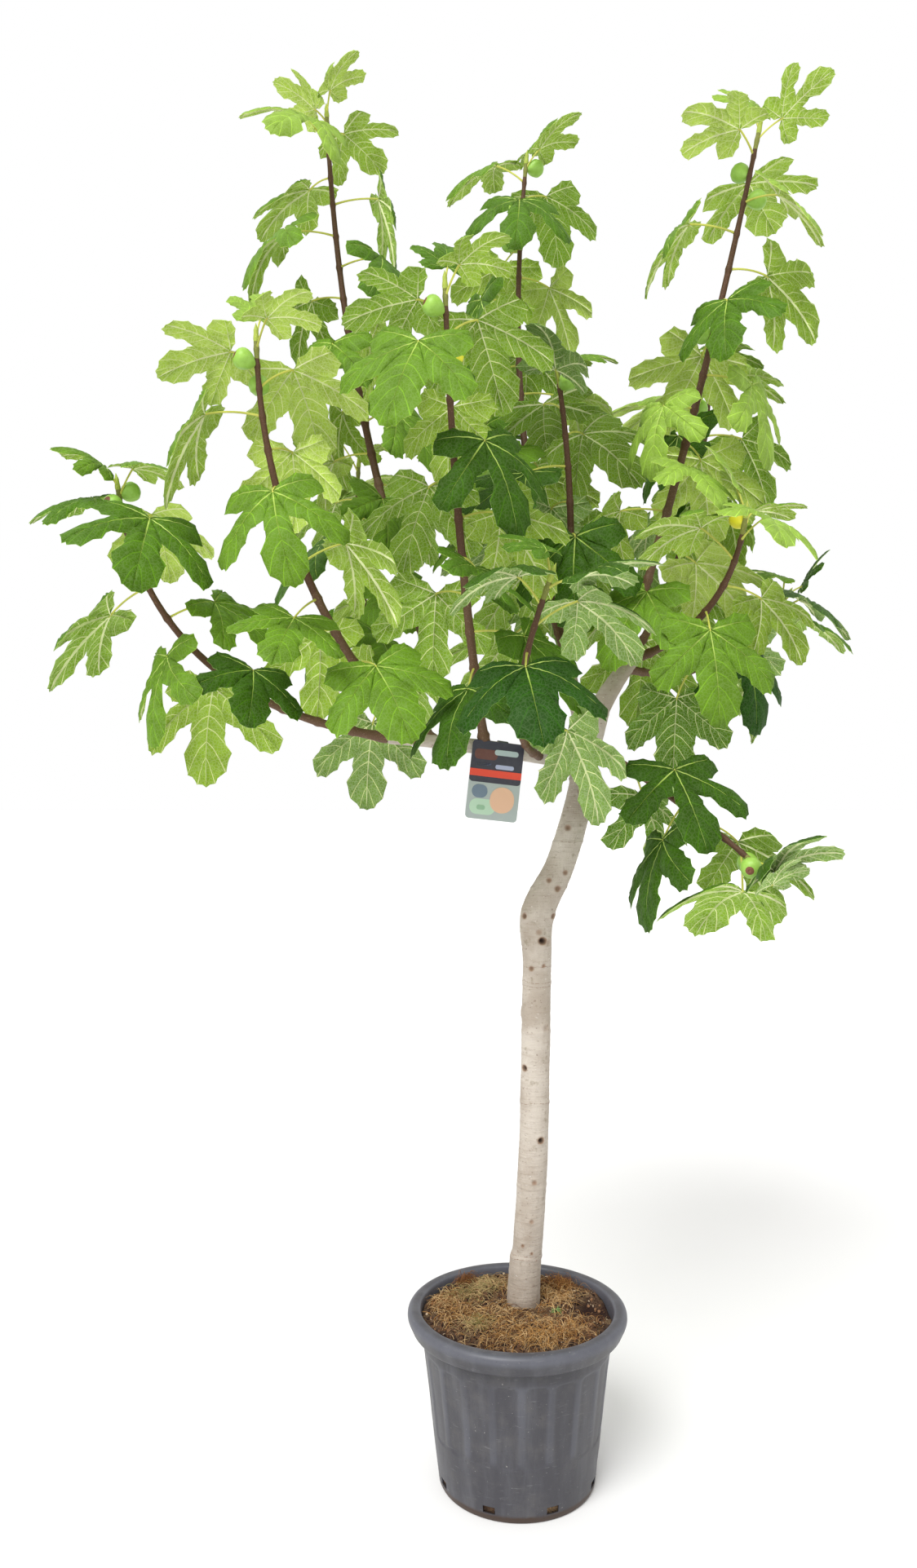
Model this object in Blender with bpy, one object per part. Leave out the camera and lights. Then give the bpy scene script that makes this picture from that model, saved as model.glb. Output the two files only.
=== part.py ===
"""Fig tree, grown as a standard, in a round nursery pot.

Metres, +Z up. The origin is the centre of the pot's flat underside, and the side that the tree
shows best faces -Y. A pale trunk rises from the potting soil to three main boughs. Long shoots
stand on the boughs, and each shoot carries its leaves and figs by one seeded rule.
"""

import math
import random
from collections import namedtuple

import bmesh
import bpy
from mathutils import Matrix, Vector
from mathutils.bvhtree import BVHTree

# Pot: a moulded 35 litre container with a rolled rim.
POT_HEIGHT = 0.351
POT_BASE_RADIUS = 0.159
POT_NECK_RADIUS = 0.195
POT_RIM_RADIUS = 0.2245
POT_RIM_DEPTH = 0.043
POT_WALL = 0.003
POT_FLOOR = 0.004
POT_SIDES = 36
DRAIN_HOLES = 8
DRAIN_WIDTH = 0.022
DRAIN_HEIGHT = 0.012
DRAIN_MIDDLE = 0.026
DRAIN_CUT_DEPTH = 4 * POT_WALL

# The pot's foot, and its rim from below the roll, over the top and into the mouth: the roll's
# points are inset from the rim's radius and stand above the roll's underside, the mouth's are set
# out from the mouth's radius and lie below the rim's top.
FOOT_CHAMFER = 0.005
RIM_ROLL = ((0.0115, 0.001), (0.001, 0.024), (0.0, 0.031), (0.004, 0.039), (0.013, POT_RIM_DEPTH))
MOUTH_ROLL = ((0.003, 0.001), (0.0, 0.006))
MOUTH_LIP = 0.002
MOUTH_TUCK = 0.004

# Potting soil: it lies a little under the rim and rises towards the trunk, where it is flat. Its
# swell is a share of its radius and a height above the middle of the rise, and it leans after the
# trunk's foot.
SOIL_EDGE_HEIGHT = 0.336
SOIL_TOP_HEIGHT = 0.343
SOIL_SIDES = 36
SOIL_FOOT_SPARE = 0.001
SOIL_GRIP = 0.020
SOIL_SHOULDER = (0.012, 0.010)
SOIL_SWELL = (0.62, 0.002)
SOIL_LEAN = 0.45
SOIL_SEAT_SPARE = 0.004

# Solids that touch are kept this far apart.
CLEAR = 0.0003
UP = Vector((0, 0, 1))

# The trunk's middle line and its radius there, from the soil up to the fork.
TRUNK = (
    ((0.0145, 0.030, SOIL_TOP_HEIGHT), 0.0350),
    ((0.0192, 0.032, 0.430), 0.0335),
    ((0.0239, 0.0325, 0.462), 0.0312),
    ((0.035, 0.035, 0.640), 0.0310),
    ((0.040, 0.035, 0.835), 0.0300),
    ((0.043, 0.032, 1.043), 0.0300),
    ((0.0445, 0.031, 1.150), 0.0355),
    ((0.0880, 0.030, 1.245), 0.0312),
    ((0.127, 0.030, 1.372), 0.0285),
    ((0.151, 0.030, 1.499), 0.0260),
    ((0.173, 0.030, 1.578), 0.0230),
)
TRUNK_SIDES = 12
TRUNK_STEPS = 2

# Foot, knee and tip of each main bough, and its radius at the foot and at the tip.
Bough = namedtuple("Bough", "foot knee tip thick thin")
MAIN_BOUGHS = {
    "bough_left": Bough(
        (0.140, 0.030, 1.462), (-0.052, -0.030, 1.492), (-0.262, -0.060, 1.513), thick=0.0185, thin=0.0125
    ),
    "bough_centre": Bough(
        (0.150, 0.030, 1.500), (0.124, 0.080, 1.612), (0.110, 0.100, 1.712), thick=0.0170, thin=0.0135
    ),
    "bough_right": Bough(
        (0.173, 0.030, 1.578), (0.205, 0.030, 1.630), (0.240, 0.035, 1.678), thick=0.0225, thin=0.0155
    ),
}

# Foot, knee and tip of each shoot, the limb it stands on, its radius at the foot, the share of
# it that is bare, the seed of its leaves and the nodes, counted from the tip, that bear a fig.
Shoot = namedtuple("Shoot", "foot knee tip stands_on thick bare seed figs")
SHOOTS = {
    "left_low": Shoot(
        (-0.262, -0.060, 1.513), (-0.690, -0.115, 1.745), (-0.786, -0.120, 2.011),
        "bough_left", thick=0.0080, bare=0.30, seed=3285, figs=(1, 2),
    ),
    "left_mid": Shoot(
        (-0.205, -0.057, 1.508), (-0.417, -0.180, 1.837), (-0.494, -0.240, 2.256),
        "bough_left", thick=0.0085, bare=0.14, seed=3012, figs=(2, 3),
    ),
    "front_tall": Shoot(
        (-0.066, -0.034, 1.493), (-0.118, -0.190, 1.900), (-0.145, -0.260, 2.345),
        "bough_left", thick=0.0085, bare=0.12, seed=3012, figs=(2, 4),
    ),
    "front_low": Shoot(
        (0.050, 0.002, 1.476), (-0.010, -0.270, 1.570), (0.040, -0.420, 1.780),
        "bough_left", thick=0.0070, bare=0.10, seed=3361, figs=(),
    ),
    "right_tall": Shoot(
        (0.212, 0.031, 1.640), (0.330, 0.020, 2.050), (0.489, -0.040, 2.752),
        "bough_right", thick=0.0088, bare=0.22, seed=3318, figs=(3, 4, 8),
    ),
    "left_tall": Shoot(
        (-0.110, -0.040, 1.498), (-0.300, 0.100, 2.100), (-0.411, 0.180, 2.907),
        "bough_left", thick=0.0090, bare=0.34, seed=3065, figs=(),
    ),
    "right_mid": Shoot(
        (0.240, 0.035, 1.678), (0.375, -0.050, 1.765), (0.444, -0.110, 1.959),
        "bough_right", thick=0.0075, bare=0.15, seed=3081, figs=(1,),
    ),
    "right_low": Shoot(
        (0.151, 0.030, 1.505), (0.286, -0.160, 1.396), (0.431, -0.310, 1.259),
        "trunk", thick=0.0075, bare=0.12, seed=3392, figs=(1, 2, 3),
    ),
    "centre_mid": Shoot(
        (0.110, 0.100, 1.712), (0.108, 0.020, 2.055), (0.078, -0.010, 2.288),
        "bough_centre", thick=0.0078, bare=0.12, seed=3130, figs=(2,),
    ),
    "back_tall": Shoot(
        (0.112, 0.095, 1.690), (0.042, 0.240, 2.080), (0.040, 0.340, 2.890),
        "bough_centre", thick=0.0085, bare=0.28, seed=3220, figs=(1, 5, 8),
    ),
    "back_right": Shoot(
        (0.192, 0.030, 1.609), (0.400, 0.260, 2.000), (0.470, 0.340, 2.380),
        "bough_right", thick=0.0080, bare=0.22, seed=3370, figs=(3,),
    ),
    "back_left": Shoot(
        (-0.160, -0.048, 1.503), (-0.330, 0.300, 1.800), (-0.360, 0.420, 2.200),
        "bough_left", thick=0.0080, bare=0.22, seed=3105, figs=(2,),
    ),
    "back_mid": Shoot(
        (0.118, 0.088, 1.660), (0.060, 0.380, 1.980), (0.000, 0.520, 2.300),
        "bough_centre", thick=0.0080, bare=0.22, seed=3378, figs=(2,),
    ),
    "back_low": Shoot(
        (0.228, 0.033, 1.660), (0.470, 0.200, 1.700), (0.640, 0.290, 1.860),
        "bough_right", thick=0.0070, bare=0.20, seed=3394, figs=(),
    ),
}
SHOOT_TIP_RADIUS = 0.0038
LINE_STEPS = 40
LIMB_SIDES = 8
BOUGH_STEPS = 5
FOOT_STEPS = 4
STEM_SIDES = 5
STEM_STEPS = 7
GUARD_STEPS = 10

# The leaf rule. A shoot's nodes open out with their distance from the tip, and each leaf stands a
# golden angle round from the last. Young leaves at the tip are small and lifted, old ones hang.
FIRST_NODE = 0.012
YOUNG_GAP = 0.020
OLD_GAP = 0.072
AGEING = 5
GROWING = 3
GOLDEN_TURN = math.radians(137.5)
LEAF_LENGTH = 0.175
YOUNG_SHARE = 0.55
STALK_SHARE = 0.50
STALK_WIDTH = 0.0036
LEAF_THICKNESS = 0.0025
LEAF_HUB = 0.25
LEAF_FOLD = 0.12
CURL_ACROSS = 1.1
CURL_ALONG = 0.7
STALK_FACES = 5

# The right half of the blade's outline for a length of 1, from the stalk to beside the tip: each
# place on a leaf without lobes, and how far full lobing moves it.
LEAF_RIM = (
    ((0.42, -0.15), (0, 0)),
    ((0.47, 0.20), (-0.12, 0)),
    ((0.63, 0.38), (0, 0)),
    ((0.55, 0.67), (0, 0)),
    ((0.32, 0.54), (-0.16, -0.14)),
    ((0.24, 0.80), (0, 0)),
)

# A young leaf's value and what age adds to it: the stalk's lean from the shoot, how much its own
# weight lowers it, and the blade's droop.
LEAN = (math.radians(28), math.radians(50))
SAG = (0.05, 0.25)
DROOP = (math.radians(-42), math.radians(97))

# Middle and spread of a leaf's lobing and curl, and how far its other values stray.
LOBING = (0.65, 0.35)
CURL = (0.50, 0.25)
Stray = namedtuple("Stray", "turn lean length stalk yaw droop roll")
STRAY = Stray(
    math.radians(22), math.radians(8), 0.16, 0.12, math.radians(28), math.radians(24), math.radians(30)
)

# A leaf keeps this far from other pieces. Where it would touch one, these turns are tried.
LEAF_SPARE = 0.0008
LEAF_REACH = 1.3
UPRIGHT_SHOOT = 0.15
UPRIGHT_STALK = 0.20
TURNS = tuple(math.radians(a) for a in (0, 24, -24, 48, -48, 75, -75, 105, -105))

# Figs stand a little round from a leaf's stalk and tip forward along the shoot. The profile runs
# from neck to eye, as shares of the radius and of half the length.
FIG_RADIUS = 0.0195
FIG_LENGTH = 1.12
FIG_PROFILE = ((0, -1), (0.6, -0.72), (1, 0.1), (0.72, 0.76), (0, 1))
FIG_SIDES = 6
FIG_TURN = math.radians(50)
FIG_LEAN = 0.45
FIG_SINK = 0.95

# Hanging label: a card that its own strap holds against the left bough, with its top a little
# above the bough. Leaves keep clear of the view of it, and of its lower end, from the front.
LABEL_WIDTH = 0.108
LABEL_HEIGHT = 0.158
LABEL_THICKNESS = 0.0012
LABEL_CORNER = 0.008
LABEL_RISE = 0.0135
LABEL_SHIFT = -0.012
STRAP_WIDTH = 0.020
STRAP_SIDES = 16
CARD_STAND_OFF = 1.4 * LABEL_THICKNESS
LABEL_ALONG = 0.44
LABEL_TILT = math.radians(-1)
LABEL_VIEW = 0.50
LABEL_GUARD = (-0.194, 0.0)

# Leaves that have dropped, each by its shoot and its place from the tip. They hung before the
# label.
DROPPED = (("front_low", 5), ("front_low", 7))

Leaf = namedtuple("Leaf", "node foot joint side along face length lobing curl")


def bent_line(foot, knee, tip, count):
    """Evenly drawn points on the curve that starts at foot, passes knee and ends at tip."""
    foot, knee, tip = Vector(foot), Vector(knee), Vector(tip)
    first, second = (knee - foot).length, (tip - knee).length
    at_knee = first / (first + second)
    pull = (knee - foot * (1 - at_knee) ** 2 - tip * at_knee**2) / (2 * at_knee * (1 - at_knee))
    points = []
    for i in range(count + 1):
        s = i / count
        points.append(foot * (1 - s) ** 2 + pull * (2 * s * (1 - s)) + tip * s**2)
    return points


def smooth_line(stations, steps):
    """Points and radii on a smooth curve through the stations, each a point and a radius."""
    middles = [Vector(point) for point, _ in stations]
    radii = [radius for _, radius in stations]
    middles = [2 * middles[0] - middles[1], *middles, 2 * middles[-1] - middles[-2]]
    radii = [radii[0], *radii, radii[-1]]
    points, widths = [], []
    for i in range(1, len(middles) - 2):
        for j in range(steps):
            s = j / steps
            weights = (
                (-s + 2 * s**2 - s**3) / 2,
                (2 - 5 * s**2 + 3 * s**3) / 2,
                (s + 4 * s**2 - 3 * s**3) / 2,
                (-(s**2) + s**3) / 2,
            )
            window = middles[i - 1 : i + 3]
            points.append(sum((p * w for p, w in zip(window, weights)), Vector((0, 0, 0))))
            widths.append(radii[i] * (1 - s) + radii[i + 1] * s)
    points.append(middles[-2])
    widths.append(radii[-2])
    return points, widths


def place_on(points, distance):
    """The point and the direction at this distance from the line's start."""
    for i in range(1, len(points)):
        step = points[i] - points[i - 1]
        if distance <= step.length or i == len(points) - 1:
            return points[i - 1] + step * (distance / step.length), step.normalized()
        distance -= step.length


def line_length(points):
    return sum((b - a).length for a, b in zip(points, points[1:]))


def tube(points, radii, sides, headings=None, grow=0.0):
    """Corners and faces of a closed tube along the points, with flat ends, grown by so much all
    over."""
    corners, faces = [], []
    across = None
    last = len(points) - 1
    for i, point in enumerate(points):
        ahead = headings[i] if headings else points[min(i + 1, last)] - points[max(i - 1, 0)]
        ahead = ahead.normalized()
        if across is None:
            across = ahead.orthogonal()
        across = (across - ahead * across.dot(ahead)).normalized()
        other = ahead.cross(across)
        middle = point + ahead * grow * ((i == last) - (i == 0))
        for j in range(sides):
            angle = 2 * math.pi * j / sides
            corners.append(middle + (radii[i] + grow) * (math.cos(angle) * across + math.sin(angle) * other))
    for i in range(last):
        for j in range(sides):
            a, b = i * sides + j, i * sides + (j + 1) % sides
            faces.append((a, b, b + sides, a + sides))
    faces.append(tuple(reversed(range(sides))))
    faces.append(tuple(range(len(corners) - sides, len(corners))))
    return corners, faces


def taper(thick, thin, count):
    return [thick + (thin - thick) * i / count for i in range(count + 1)]


def trunk_tube(grow=0.0):
    points, radii = smooth_line(TRUNK, TRUNK_STEPS)
    headings = [UP, *(b - a for a, b in zip(points, points[2:])), points[-1] - points[-2]]
    return tube(points, radii, TRUNK_SIDES, headings, grow)


def bough_tube(bough, grow=0.0):
    points = bent_line(bough.foot, bough.knee, bough.tip, BOUGH_STEPS)
    return tube(points, taper(bough.thick, bough.thin, BOUGH_STEPS), LIMB_SIDES, grow=grow)


def shoot_line(shoot):
    return bent_line(shoot.foot, shoot.knee, shoot.tip, LINE_STEPS)


def shoot_radius(shoot, share):
    """The shoot's radius at a share of its length from its foot."""
    return shoot.thick + (SHOOT_TIP_RADIUS - shoot.thick) * share


def shoot_tube(shoot, start, end, count, sides, grow=0.0):
    """The shoot between two shares of its length, its ends square to the shoot."""
    line = shoot_line(shoot)
    whole = line_length(line)
    shares = taper(start, end, count)
    places = [place_on(line, share * whole) for share in shares]
    radii = [shoot_radius(shoot, share) for share in shares]
    return tube([point for point, _ in places], radii, sides, [ahead for _, ahead in places], grow)


def leaf_outline(lobing, neck):
    """The blade's outline for a length of 1, from the stalk round its five lobes and back to the
    stalk. Deeper lobing draws the four bays between the lobes in, and neck is half the stalk."""
    right = ((neck, 0), *((x + dx * lobing, y + dy * lobing) for (x, y), (dx, dy) in LEAF_RIM))
    left = tuple((-x, y) for x, y in reversed(right))
    return (*right, (0, 1), *left)


def leaf_point(leaf, x, y):
    """A place on the blade, curled down towards its rim and folded up a little along its midrib."""
    curl = CURL_ACROSS * x * x + CURL_ALONG * max(0.0, y - LEAF_HUB) ** 2
    bend = LEAF_FOLD * abs(x) - leaf.curl * curl
    return leaf.joint + leaf.length * (x * leaf.side + y * leaf.along + bend * leaf.face)


def leaf_shape(leaf, spare=0.0):
    """Corners and faces of a leaf as one closed plate, with its stalk as the last five faces. Each
    side of the blade is a fan round a hub on its midrib, and the stalk meets it in a mitre."""
    half = LEAF_THICKNESS / 2 + spare
    neck = STALK_WIDTH / 2 + spare
    outline = leaf_outline(leaf.lobing, neck / leaf.length)
    count = len(outline)
    middles = [leaf_point(leaf, x, y) for x, y in outline]
    stalk = (leaf.joint - leaf.foot).normalized()
    across = (leaf.side - stalk * stalk.dot(leaf.side)).normalized()
    above = across.cross(stalk)
    mitre = (leaf.face + above) / (1 + leaf.face.dot(above))
    lifts = [mitre if i in (0, count - 1) else leaf.face for i in range(count)]
    corners = [p + half * lift for p, lift in zip(middles, lifts)]
    corners += [p - half * lift for p, lift in zip(middles, lifts)]
    corners += [leaf_point(leaf, 0, LEAF_HUB) + side * half * leaf.face for side in (1, -1)]
    for side in (1, -1):
        corners += [leaf.foot + end * neck * across + side * half * above for end in (1, -1)]
    faces = [(2 * count, i, (i + 1) % count) for i in range(count)]
    faces += [(2 * count + 1, count + (i + 1) % count, count + i) for i in range(count)]
    faces += [(i, count + i, count + i + 1, i + 1) for i in range(count - 1)]
    top = (0, count - 1, 2 * count + 3, 2 * count + 2)
    bottom = (count, 2 * count - 1, 2 * count + 5, 2 * count + 4)
    faces += [top, bottom, (top[0], bottom[0], bottom[3], top[3]), (top[1], bottom[1], bottom[2], top[2])]
    faces.append((top[2], top[3], bottom[3], bottom[2]))
    return corners, faces


def leaf_at(shoot, line, whole, node, distance, draws, turn, phase):
    """The leaf of one node. draws holds its seeded numbers, from -1 to 1."""
    point, ahead = place_on(line, whole - distance)
    age = min(1.0, node / AGEING)
    angle = phase + node * GOLDEN_TURN + STRAY.turn * draws[0] + turn
    across = ahead.cross(UP)
    if across.length < UPRIGHT_SHOOT:
        across = ahead.cross(Vector((0, 1, 0)))
    across.normalize()
    out = math.cos(angle) * across + math.sin(angle) * across.cross(ahead)
    lean = LEAN[0] + LEAN[1] * age + STRAY.lean * draws[1]
    stalk = out * math.sin(lean) + ahead * math.cos(lean) - UP * (SAG[0] + SAG[1] * age)
    stalk.normalize()
    grown = YOUNG_SHARE + (1 - YOUNG_SHARE) * min(1, node / GROWING)
    length = LEAF_LENGTH * grown * (1 + STRAY.length * draws[2])
    joint = point + stalk * length * (STALK_SHARE + STRAY.stalk * draws[3])
    flat = Vector((stalk.x, stalk.y, 0))
    if flat.length < UPRIGHT_STALK:
        flat = Vector((out.x, out.y, 0))
    flat = Matrix.Rotation(STRAY.yaw * draws[4], 3, "Z") @ flat.normalized()
    droop = DROOP[0] + DROOP[1] * age + STRAY.droop * draws[5]
    along = flat * math.cos(droop) - UP * math.sin(droop)
    face = (UP - along * along.z).normalized()
    roll = Matrix.Rotation(STRAY.roll * draws[6], 3, along)
    lobing = LOBING[0] + LOBING[1] * draws[7]
    curl = CURL[0] + CURL[1] * draws[8]
    return Leaf(node, point, joint, roll @ along.cross(face), along, roll @ face, length, lobing, curl)


def bounds_tree(*shapes):
    """One search tree over several shapes, each given as corners and faces."""
    corners, faces = [], []
    for points, sides in shapes:
        faces += [tuple(i + len(corners) for i in face) for face in sides]
        corners += points
    return BVHTree.FromPolygons(corners, faces)


def grow_leaves(shoot, limbs, own_stem, taken):
    """The shoot's leaves from its tip down. A leaf that would touch a limb or a taken leaf is
    turned round the stem, and it is skipped where no turn is free."""
    rule = random.Random(shoot.seed)
    phase = rule.uniform(0, 2 * math.pi)
    line = shoot_line(shoot)
    whole = line_length(line)
    leaves, distance, node = [], FIRST_NODE, 0
    while distance < whole * (1 - shoot.bare) - YOUNG_GAP:
        draws = [rule.uniform(-1, 1) for _ in range(9)]
        for turn in TURNS:
            leaf = leaf_at(shoot, line, whole, node, distance, draws, turn, phase)
            corners, faces = leaf_shape(leaf, LEAF_SPARE)
            whole_leaf = bounds_tree((corners, faces))
            reach = leaf.length * LEAF_REACH
            near = [tree for place, far, tree in taken if (place - leaf.joint).length < reach + far]
            if any(tree.overlap(whole_leaf) for tree in (*limbs, *near)):
                continue
            if own_stem.overlap(bounds_tree((corners, faces[:-STALK_FACES]))):
                continue
            leaves.append(leaf)
            taken.append((leaf.joint, reach, whole_leaf))
            break
        distance += YOUNG_GAP + (OLD_GAP - YOUNG_GAP) * min(1.0, node / AGEING)
        node += 1
    return leaves


def fig_place(shoot, leaf):
    """Centre and axis of the fig that sits above a leaf's stalk."""
    line = shoot_line(shoot)
    whole = line_length(line)
    nearest = min(range(len(line)), key=lambda i: (line[i] - leaf.foot).length)
    ahead = (line[min(nearest + 1, LINE_STEPS)] - line[max(nearest - 1, 0)]).normalized()
    out = leaf.joint - leaf.foot
    out = (out - ahead * out.dot(ahead)).normalized()
    axis = (Matrix.Rotation(FIG_TURN, 3, ahead) @ out + FIG_LEAN * ahead).normalized()
    radius = shoot_radius(shoot, 1 - (leaf.foot - line[-1]).length / whole)
    return leaf.foot + axis * (radius + FIG_RADIUS * FIG_LENGTH * FIG_SINK), axis


def turned(profile, sides):
    """Corners and faces of a profile of radius and height, from axis to axis, turned about +Z."""
    corners, faces, rings = [], [], []
    for radius, height in profile:
        if radius == 0:
            rings.append([len(corners)])
            corners.append(Vector((0, 0, height)))
            continue
        rings.append(list(range(len(corners), len(corners) + sides)))
        for j in range(sides):
            angle = 2 * math.pi * j / sides
            corners.append(Vector((radius * math.cos(angle), radius * math.sin(angle), height)))
    for low, high in zip(rings, rings[1:]):
        for j in range(sides):
            a, b = low[j % len(low)], low[(j + 1) % len(low)]
            c, d = high[(j + 1) % len(high)], high[j % len(high)]
            faces.append(tuple(dict.fromkeys((a, b, c, d))))
    return corners, faces


def fig_shape(centre, axis, spare=0.0):
    """Corners and faces of a fig whose eye points along the axis."""
    radius = FIG_RADIUS + spare
    corners, faces = turned([(r * radius, h * radius * FIG_LENGTH) for r, h in FIG_PROFILE], FIG_SIDES)
    turn = axis.to_track_quat("Z", "Y").to_matrix()
    return [centre + turn @ corner for corner in corners], faces


def obstacles():
    """Search trees for the limbs, and one for each shoot's own stem."""
    fixed = [trunk_tube(LEAF_SPARE)]
    fixed += [bough_tube(bough, LEAF_SPARE) for bough in MAIN_BOUGHS.values()]
    fixed.append(label_keep_out())
    stems = {
        name: bounds_tree(shoot_tube(shoot, 0, 1, GUARD_STEPS, LIMB_SIDES, LEAF_SPARE))
        for name, shoot in SHOOTS.items()
    }
    return bounds_tree(*fixed), stems


def label_place():
    """Where the label's strap goes round the left bough: the bough's middle there, its radius and
    the label's own axes, with X along the bough and Y to the back."""
    bough = MAIN_BOUGHS["bough_left"]
    line = bent_line(bough.foot, bough.knee, bough.tip, LINE_STEPS)
    middle, ahead = place_on(line, line_length(line) * LABEL_ALONG)
    back = UP.cross(-ahead).normalized()
    axes = Matrix((-ahead, back, (-ahead).cross(back))).transposed()
    return middle, bough.thick + (bough.thin - bough.thick) * LABEL_ALONG, axes


def box_shape(low, high):
    corners = [Vector((x, y, z)) for z in (low.z, high.z) for y in (low.y, high.y) for x in (low.x, high.x)]
    faces = [(0, 2, 3, 1), (4, 5, 7, 6), (0, 1, 5, 4), (2, 6, 7, 3), (0, 4, 6, 2), (1, 3, 7, 5)]
    return corners, faces


def label_keep_out():
    """A box round the card and the air in front of it, which leaves stay out of."""
    middle, radius, axes = label_place()
    half = LABEL_WIDTH / 2
    low = Vector((-half, -radius - LABEL_VIEW, LABEL_GUARD[0]))
    high = Vector((half, -radius + 3 * LABEL_THICKNESS, LABEL_GUARD[1]))
    corners, faces = box_shape(low, high)
    return [middle + axes @ c for c in corners], faces


def grow_shoot(shoot, limbs, own_stem, taken):
    """The shoot's leaves and figs, which join the taken shapes. A fig that would touch a limb or
    another shoot's shape is left out."""
    others = [*limbs, *(tree for _, _, tree in taken)]
    leaves = grow_leaves(shoot, limbs, own_stem, taken)
    figs = []
    for leaf in leaves:
        if leaf.node in shoot.figs:
            centre, axis = fig_place(shoot, leaf)
            guard = bounds_tree(fig_shape(centre, axis, LEAF_SPARE))
            if not any(tree.overlap(guard) for tree in others):
                figs.append((centre, axis))
                taken.append((centre, FIG_RADIUS * LEAF_REACH, guard))
    return leaves, figs


def plan_crown():
    """Every shoot's leaves and figs, shoot by shoot, in the order in which they take their space."""
    fixed, stems = obstacles()
    taken, crown = [], {}
    for name, shoot in SHOOTS.items():
        limbs = [fixed, *(tree for other, tree in stems.items() if other != name)]
        crown[name] = grow_shoot(shoot, limbs, stems[name], taken)
    for name, (leaves, _) in crown.items():
        leaves[:] = [leaf for leaf in leaves if (name, leaf.node) not in DROPPED]
    return crown


def material(name, colour, roughness):
    """A plain material with one colour."""
    made = bpy.data.materials.new(name)
    made.use_nodes = True
    shader = made.node_tree.nodes["Principled BSDF"]
    shader.inputs["Base Color"].default_value = (*colour, 1)
    shader.inputs["Roughness"].default_value = roughness
    return made


def mesh_object(name, shape, finish, smooth=False):
    """An object made from corners and faces."""
    corners, faces = shape
    mesh = bpy.data.meshes.new(name)
    mesh.from_pydata([tuple(c) for c in corners], [], faces)
    mesh.materials.append(finish)
    if smooth:
        mesh.shade_smooth()
        mesh.set_sharp_from_angle(angle=math.radians(40))
    made = bpy.data.objects.new(name, mesh)
    bpy.context.scene.collection.objects.link(made)
    return made


def apply_modifiers(target):
    """Replaces the object's mesh by its evaluated one."""
    bpy.context.view_layer.update()
    graph = bpy.context.evaluated_depsgraph_get()
    mesh = bpy.data.meshes.new_from_object(target.evaluated_get(graph))
    target.modifiers.clear()
    target.data = mesh


def cut(target, shape):
    """Cuts a shape, given as corners and faces, out of the target."""
    cutter = mesh_object(target.name + "_cutter", shape, target.data.materials[0])
    step = target.modifiers.new("cut", "BOOLEAN")
    step.operation = "DIFFERENCE"
    step.object = cutter
    apply_modifiers(target)
    bpy.data.objects.remove(cutter)


def keep_largest(target):
    """Drops the loose scraps that a Boolean leaves beside the main body."""
    shape = bmesh.new()
    shape.from_mesh(target.data)
    unseen, islands = set(shape.faces), []
    while unseen:
        queue, island = [unseen.pop()], []
        while queue:
            face = queue.pop()
            island.append(face)
            for edge in face.edges:
                for other in edge.link_faces:
                    if other in unseen:
                        unseen.remove(other)
                        queue.append(other)
        islands.append(island)
    islands.sort(key=len)
    bmesh.ops.delete(shape, geom=[f for island in islands[:-1] for f in island], context="FACES")
    shape.to_mesh(target.data)
    shape.free()


def fuse(target, others):
    """Joins the others to the target by one Boolean union on their collection."""
    group = bpy.data.collections.new(target.name + "_parts")
    for other in others:
        bpy.context.scene.collection.objects.unlink(other)
        group.objects.link(other)
    step = target.modifiers.new("join", "BOOLEAN")
    step.operation = "UNION"
    step.operand_type = "COLLECTION"
    step.solver = "MANIFOLD"
    step.collection = group
    apply_modifiers(target)
    for other in others:
        bpy.data.objects.remove(other)
    bpy.data.collections.remove(group)
    keep_largest(target)


def wall_radius(height):
    """The outer radius of the pot's wall at a height."""
    return POT_BASE_RADIUS + (POT_NECK_RADIUS - POT_BASE_RADIUS) * height / (POT_HEIGHT - POT_RIM_DEPTH)


def make_pot(finish):
    """The container: a tapered wall, a rolled rim, a flat floor and drain holes at its foot."""
    under_rim = POT_HEIGHT - POT_RIM_DEPTH
    mouth = wall_radius(under_rim) + MOUTH_LIP
    profile = (
        (0, 0),
        (POT_BASE_RADIUS - FOOT_CHAMFER, 0),
        (wall_radius(FOOT_CHAMFER), FOOT_CHAMFER),
        (wall_radius(under_rim), under_rim),
        *((POT_RIM_RADIUS - inset, under_rim + height) for inset, height in RIM_ROLL),
        *((mouth + out, POT_HEIGHT - depth) for out, depth in MOUTH_ROLL),
        (wall_radius(under_rim) - POT_WALL, under_rim - MOUTH_TUCK),
        (wall_radius(POT_FLOOR) - POT_WALL, POT_FLOOR),
        (0, POT_FLOOR),
    )
    pot = mesh_object("pot", turned(profile, POT_SIDES), finish, smooth=True)
    radius = wall_radius(DRAIN_MIDDLE)
    for i in range(DRAIN_HOLES):
        angle = -math.pi / 2 + (i + 0.5) * 2 * math.pi / DRAIN_HOLES
        half_width, half_height = DRAIN_WIDTH / 2, DRAIN_HEIGHT / 2
        corners, faces = box_shape(
            Vector((radius - DRAIN_CUT_DEPTH, -half_width, DRAIN_MIDDLE - half_height)),
            Vector((radius + DRAIN_CUT_DEPTH, half_width, DRAIN_MIDDLE + half_height)),
        )
        turn = Matrix.Rotation(angle, 3, "Z")
        cut(pot, ([turn @ c for c in corners], faces))
    return pot


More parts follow.
